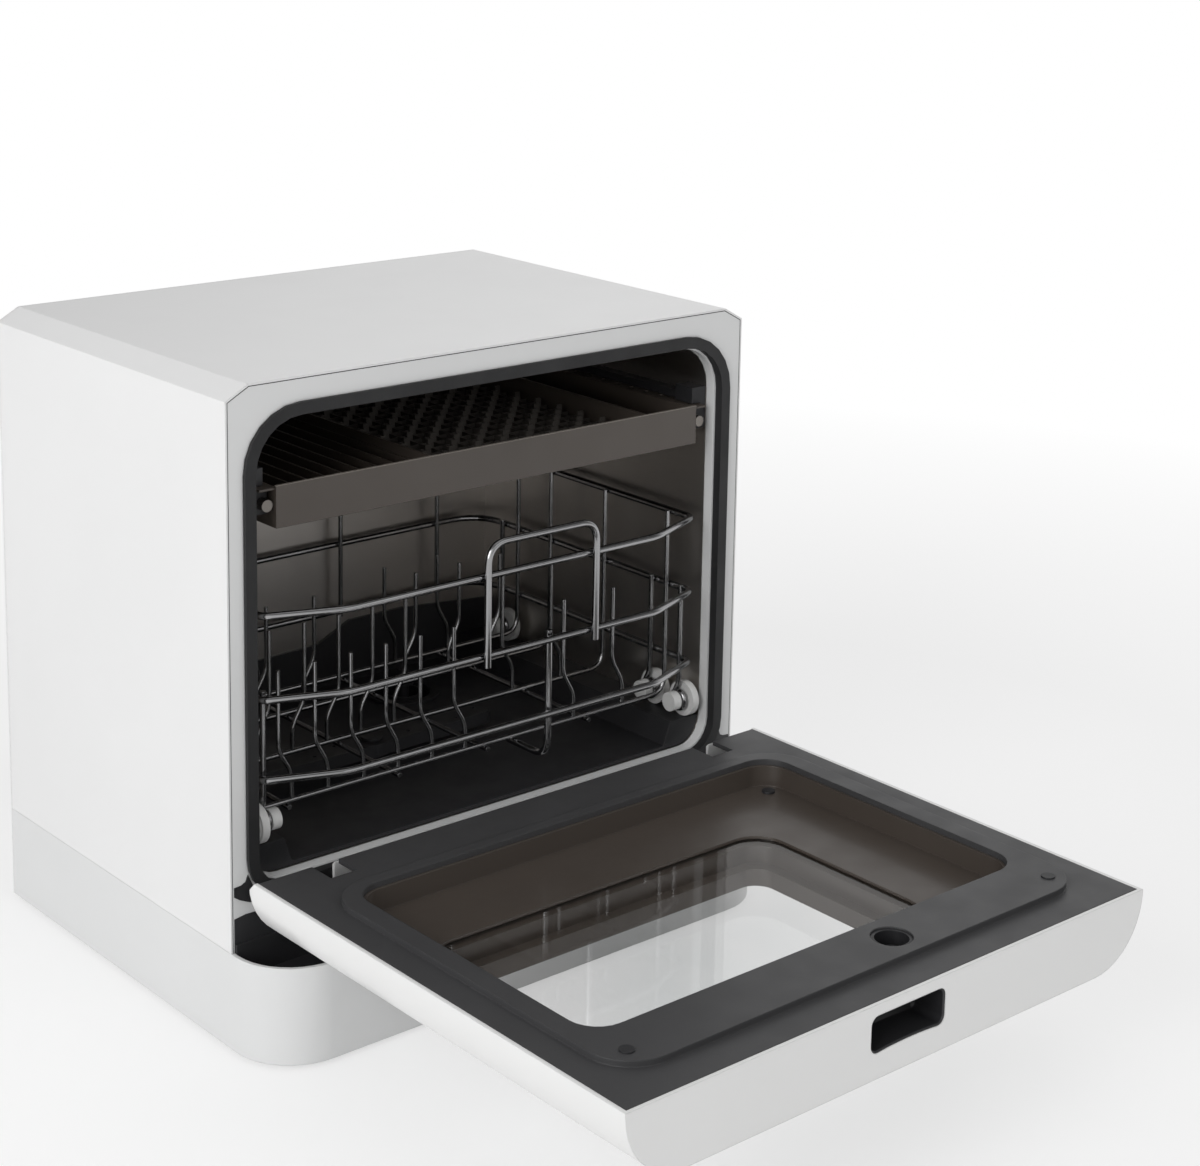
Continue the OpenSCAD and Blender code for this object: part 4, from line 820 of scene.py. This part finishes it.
def make_rear_screws():
    """Pan head screws that hold the back panel."""
    lo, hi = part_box("back_panel")
    inset = 11 * MM
    left, right = lo.x + inset, hi.x - inset
    low, high = lo.z + inset, hi.z - inset
    middle = (low + high) / 2
    places = [(left, low), (right, low), (left, high), (right, high), (left, middle), (right, middle), (0, high)]
    head = [(-0.0002, 0.0042), (0.0006, 0.0042), (0.0014, 0.0036), (0.0019, 0.0024), (0.0020, 0.0013),
            (0.0011, 0.0011), (0.0010, 0.0001)]
    for number, (x, z) in enumerate(places, 1):
        lathe("rear_screw_%d" % number, head, (x, hi.y, z), (0, 1, 0), MATERIALS["hinge_steel"],
              "cabinet", 24)


def light(name, kind, place, aim, energy, size):
    data = bpy.data.lights.new(name, kind)
    data.energy = energy
    data.size = size
    obj = bpy.data.objects.new(name, data)
    obj.location = place
    obj.rotation_mode = "QUATERNION"
    obj.rotation_quaternion = (Vector(aim) - Vector(place)).to_track_quat("-Z", "Y")
    bpy.context.scene.collection.objects.link(obj)


def seen_directly(tree):
    """1 for rays that reach the surface from the camera, a mirror or a pane; 0 for light that bounces."""
    rays = tree.nodes.new("ShaderNodeLightPath")
    total = rays.outputs["Is Camera Ray"]
    for name in ("Is Glossy Ray", "Is Transmission Ray"):
        more = tree.nodes.new("ShaderNodeMath")
        more.operation = "MAXIMUM"
        tree.links.new(total, more.inputs[0])
        tree.links.new(rays.outputs[name], more.inputs[1])
        total = more.outputs[0]
    return total


def background(tree, strength):
    node = tree.nodes.new("ShaderNodeBackground")
    node.inputs[0].default_value = (1, 1, 1, 1)
    node.inputs[1].default_value = strength
    return node


def remap(tree, value, low, high, to_low, to_high):
    node = tree.nodes.new("ShaderNodeMapRange")
    node.interpolation_type = "SMOOTHSTEP"
    for socket, number in zip(("From Min", "From Max", "To Min", "To Max"), (low, high, to_low, to_high)):
        node.inputs[socket].default_value = number
    tree.links.new(value, node.inputs["Value"])
    return node.outputs[0]


def toward(tree, direction, way):
    node = tree.nodes.new("ShaderNodeVectorMath")
    node.operation = "DOT_PRODUCT"
    tree.links.new(direction, node.inputs[0])
    node.inputs[1].default_value = Vector(way).normalized()
    return node.outputs["Value"]


def combine(tree, how, a, b):
    node = tree.nodes.new("ShaderNodeMath")
    node.operation = how
    tree.links.new(a, node.inputs[0])
    tree.links.new(b, node.inputs[1])
    return node.outputs[0]


def room_brightness(tree):
    """What metal mirrors: a white studio with a darker ceiling and two wide bright sides."""
    coords = tree.nodes.new("ShaderNodeTexCoord")
    way = coords.outputs["Generated"]
    left = remap(tree, toward(tree, way, (-1, -0.45, 0.15)), 0.1, 0.8, 0.22, 1.0)
    right = remap(tree, toward(tree, way, (1, 0.35, 0.1)), 0.6, 0.92, 0.22, 0.95)
    ceiling = remap(tree, toward(tree, way, (0, 0, 1)), 0.35, 0.8, 1.0, 0.3)
    return combine(tree, "MULTIPLY", combine(tree, "MAXIMUM", left, right), ceiling)


def make_world():
    world = bpy.data.worlds.new("studio")
    bpy.context.scene.world = world
    world.use_nodes = True
    tree = world.node_tree
    tree.nodes.clear()
    out = tree.nodes.new("ShaderNodeOutputWorld")
    soft = background(tree, 0.5)
    white = background(tree, 1.0)
    room = background(tree, 1.0)
    tree.links.new(room_brightness(tree), room.inputs[0])
    rays = tree.nodes.new("ShaderNodeLightPath")
    mirror = tree.nodes.new("ShaderNodeMixShader")
    tree.links.new(rays.outputs["Is Glossy Ray"], mirror.inputs[0])
    tree.links.new(soft.outputs[0], mirror.inputs[1])
    tree.links.new(room.outputs[0], mirror.inputs[2])
    plain = tree.nodes.new("ShaderNodeMath")
    plain.operation = "MAXIMUM"
    tree.links.new(rays.outputs["Is Camera Ray"], plain.inputs[0])
    tree.links.new(rays.outputs["Is Transmission Ray"], plain.inputs[1])
    mix = tree.nodes.new("ShaderNodeMixShader")
    tree.links.new(plain.outputs[0], mix.inputs[0])
    tree.links.new(mirror.outputs[0], mix.inputs[1])
    tree.links.new(white.outputs[0], mix.inputs[2])
    tree.links.new(mix.outputs[0], out.inputs[0])


def make_floor():
    """White counter that keeps the shadow near the machine and fades into the white backdrop."""
    bpy.ops.mesh.primitive_plane_add(size=12, location=(0, 0, -0.0002))
    floor = bpy.context.object
    floor.name = "floor"
    mat, tree, bsdf = new_material("floor_white")
    speck = object_noise(tree, 3, 2.0)
    tree.links.new(ramp(tree, speck, grey(0.91), grey(0.93)), bsdf.inputs["Base Color"])
    bsdf.inputs["Roughness"].default_value = 0.7
    coords = tree.nodes.new("ShaderNodeTexCoord")
    reach = tree.nodes.new("ShaderNodeVectorMath")
    reach.operation = "LENGTH"
    tree.links.new(coords.outputs["Object"], reach.inputs[0])
    spread = tree.nodes.new("ShaderNodeMapRange")
    spread.inputs["From Min"].default_value = FLOOR_NEAR
    spread.inputs["From Max"].default_value = FLOOR_FAR
    spread.inputs["To Min"].default_value = 0.6
    spread.inputs["To Max"].default_value = 1.0
    tree.links.new(reach.outputs["Value"], spread.inputs["Value"])
    share = tree.nodes.new("ShaderNodeMath")
    share.operation = "MULTIPLY"
    tree.links.new(spread.outputs[0], share.inputs[0])
    tree.links.new(seen_directly(tree), share.inputs[1])
    glow = tree.nodes.new("ShaderNodeEmission")
    glow.inputs[0].default_value = (1, 1, 1, 1)
    glow.inputs[1].default_value = 1.0
    mix = tree.nodes.new("ShaderNodeMixShader")
    tree.links.new(share.outputs[0], mix.inputs[0])
    tree.links.new(bsdf.outputs[0], mix.inputs[1])
    tree.links.new(glow.outputs[0], mix.inputs[2])
    out = next(n for n in tree.nodes if n.type == "OUTPUT_MATERIAL")
    tree.links.new(mix.outputs[0], out.inputs[0])
    floor.data.materials.append(mat)


FLOOR_NEAR = 0.75
FLOOR_FAR = 1.7


def make_studio():
    bpy.context.scene.view_settings.view_transform = "Standard"
    make_world()
    make_floor()
    light("key", "AREA", (-2.5, -0.8, 1.4), (0, 0, 0.2), 37, 1.6)
    light("fill", "AREA", (0.9, -2.2, 1.6), (0, 0, 0.2), 7, 1.8)
    light("top", "AREA", (0.2, 0.2, 2.4), (0, 0, 0.2), 7, 2.0)


make_camera()
MATERIALS = make_materials()
dress(MATERIALS)
smooth_curved_parts()
make_basket()
make_hoses()
make_hose_details()
make_finger_cup()
make_cutlery_mat()
make_tray_edge_highlight()
make_casing_seam()
make_hinge_covers()
make_rear_screws()
make_studio()
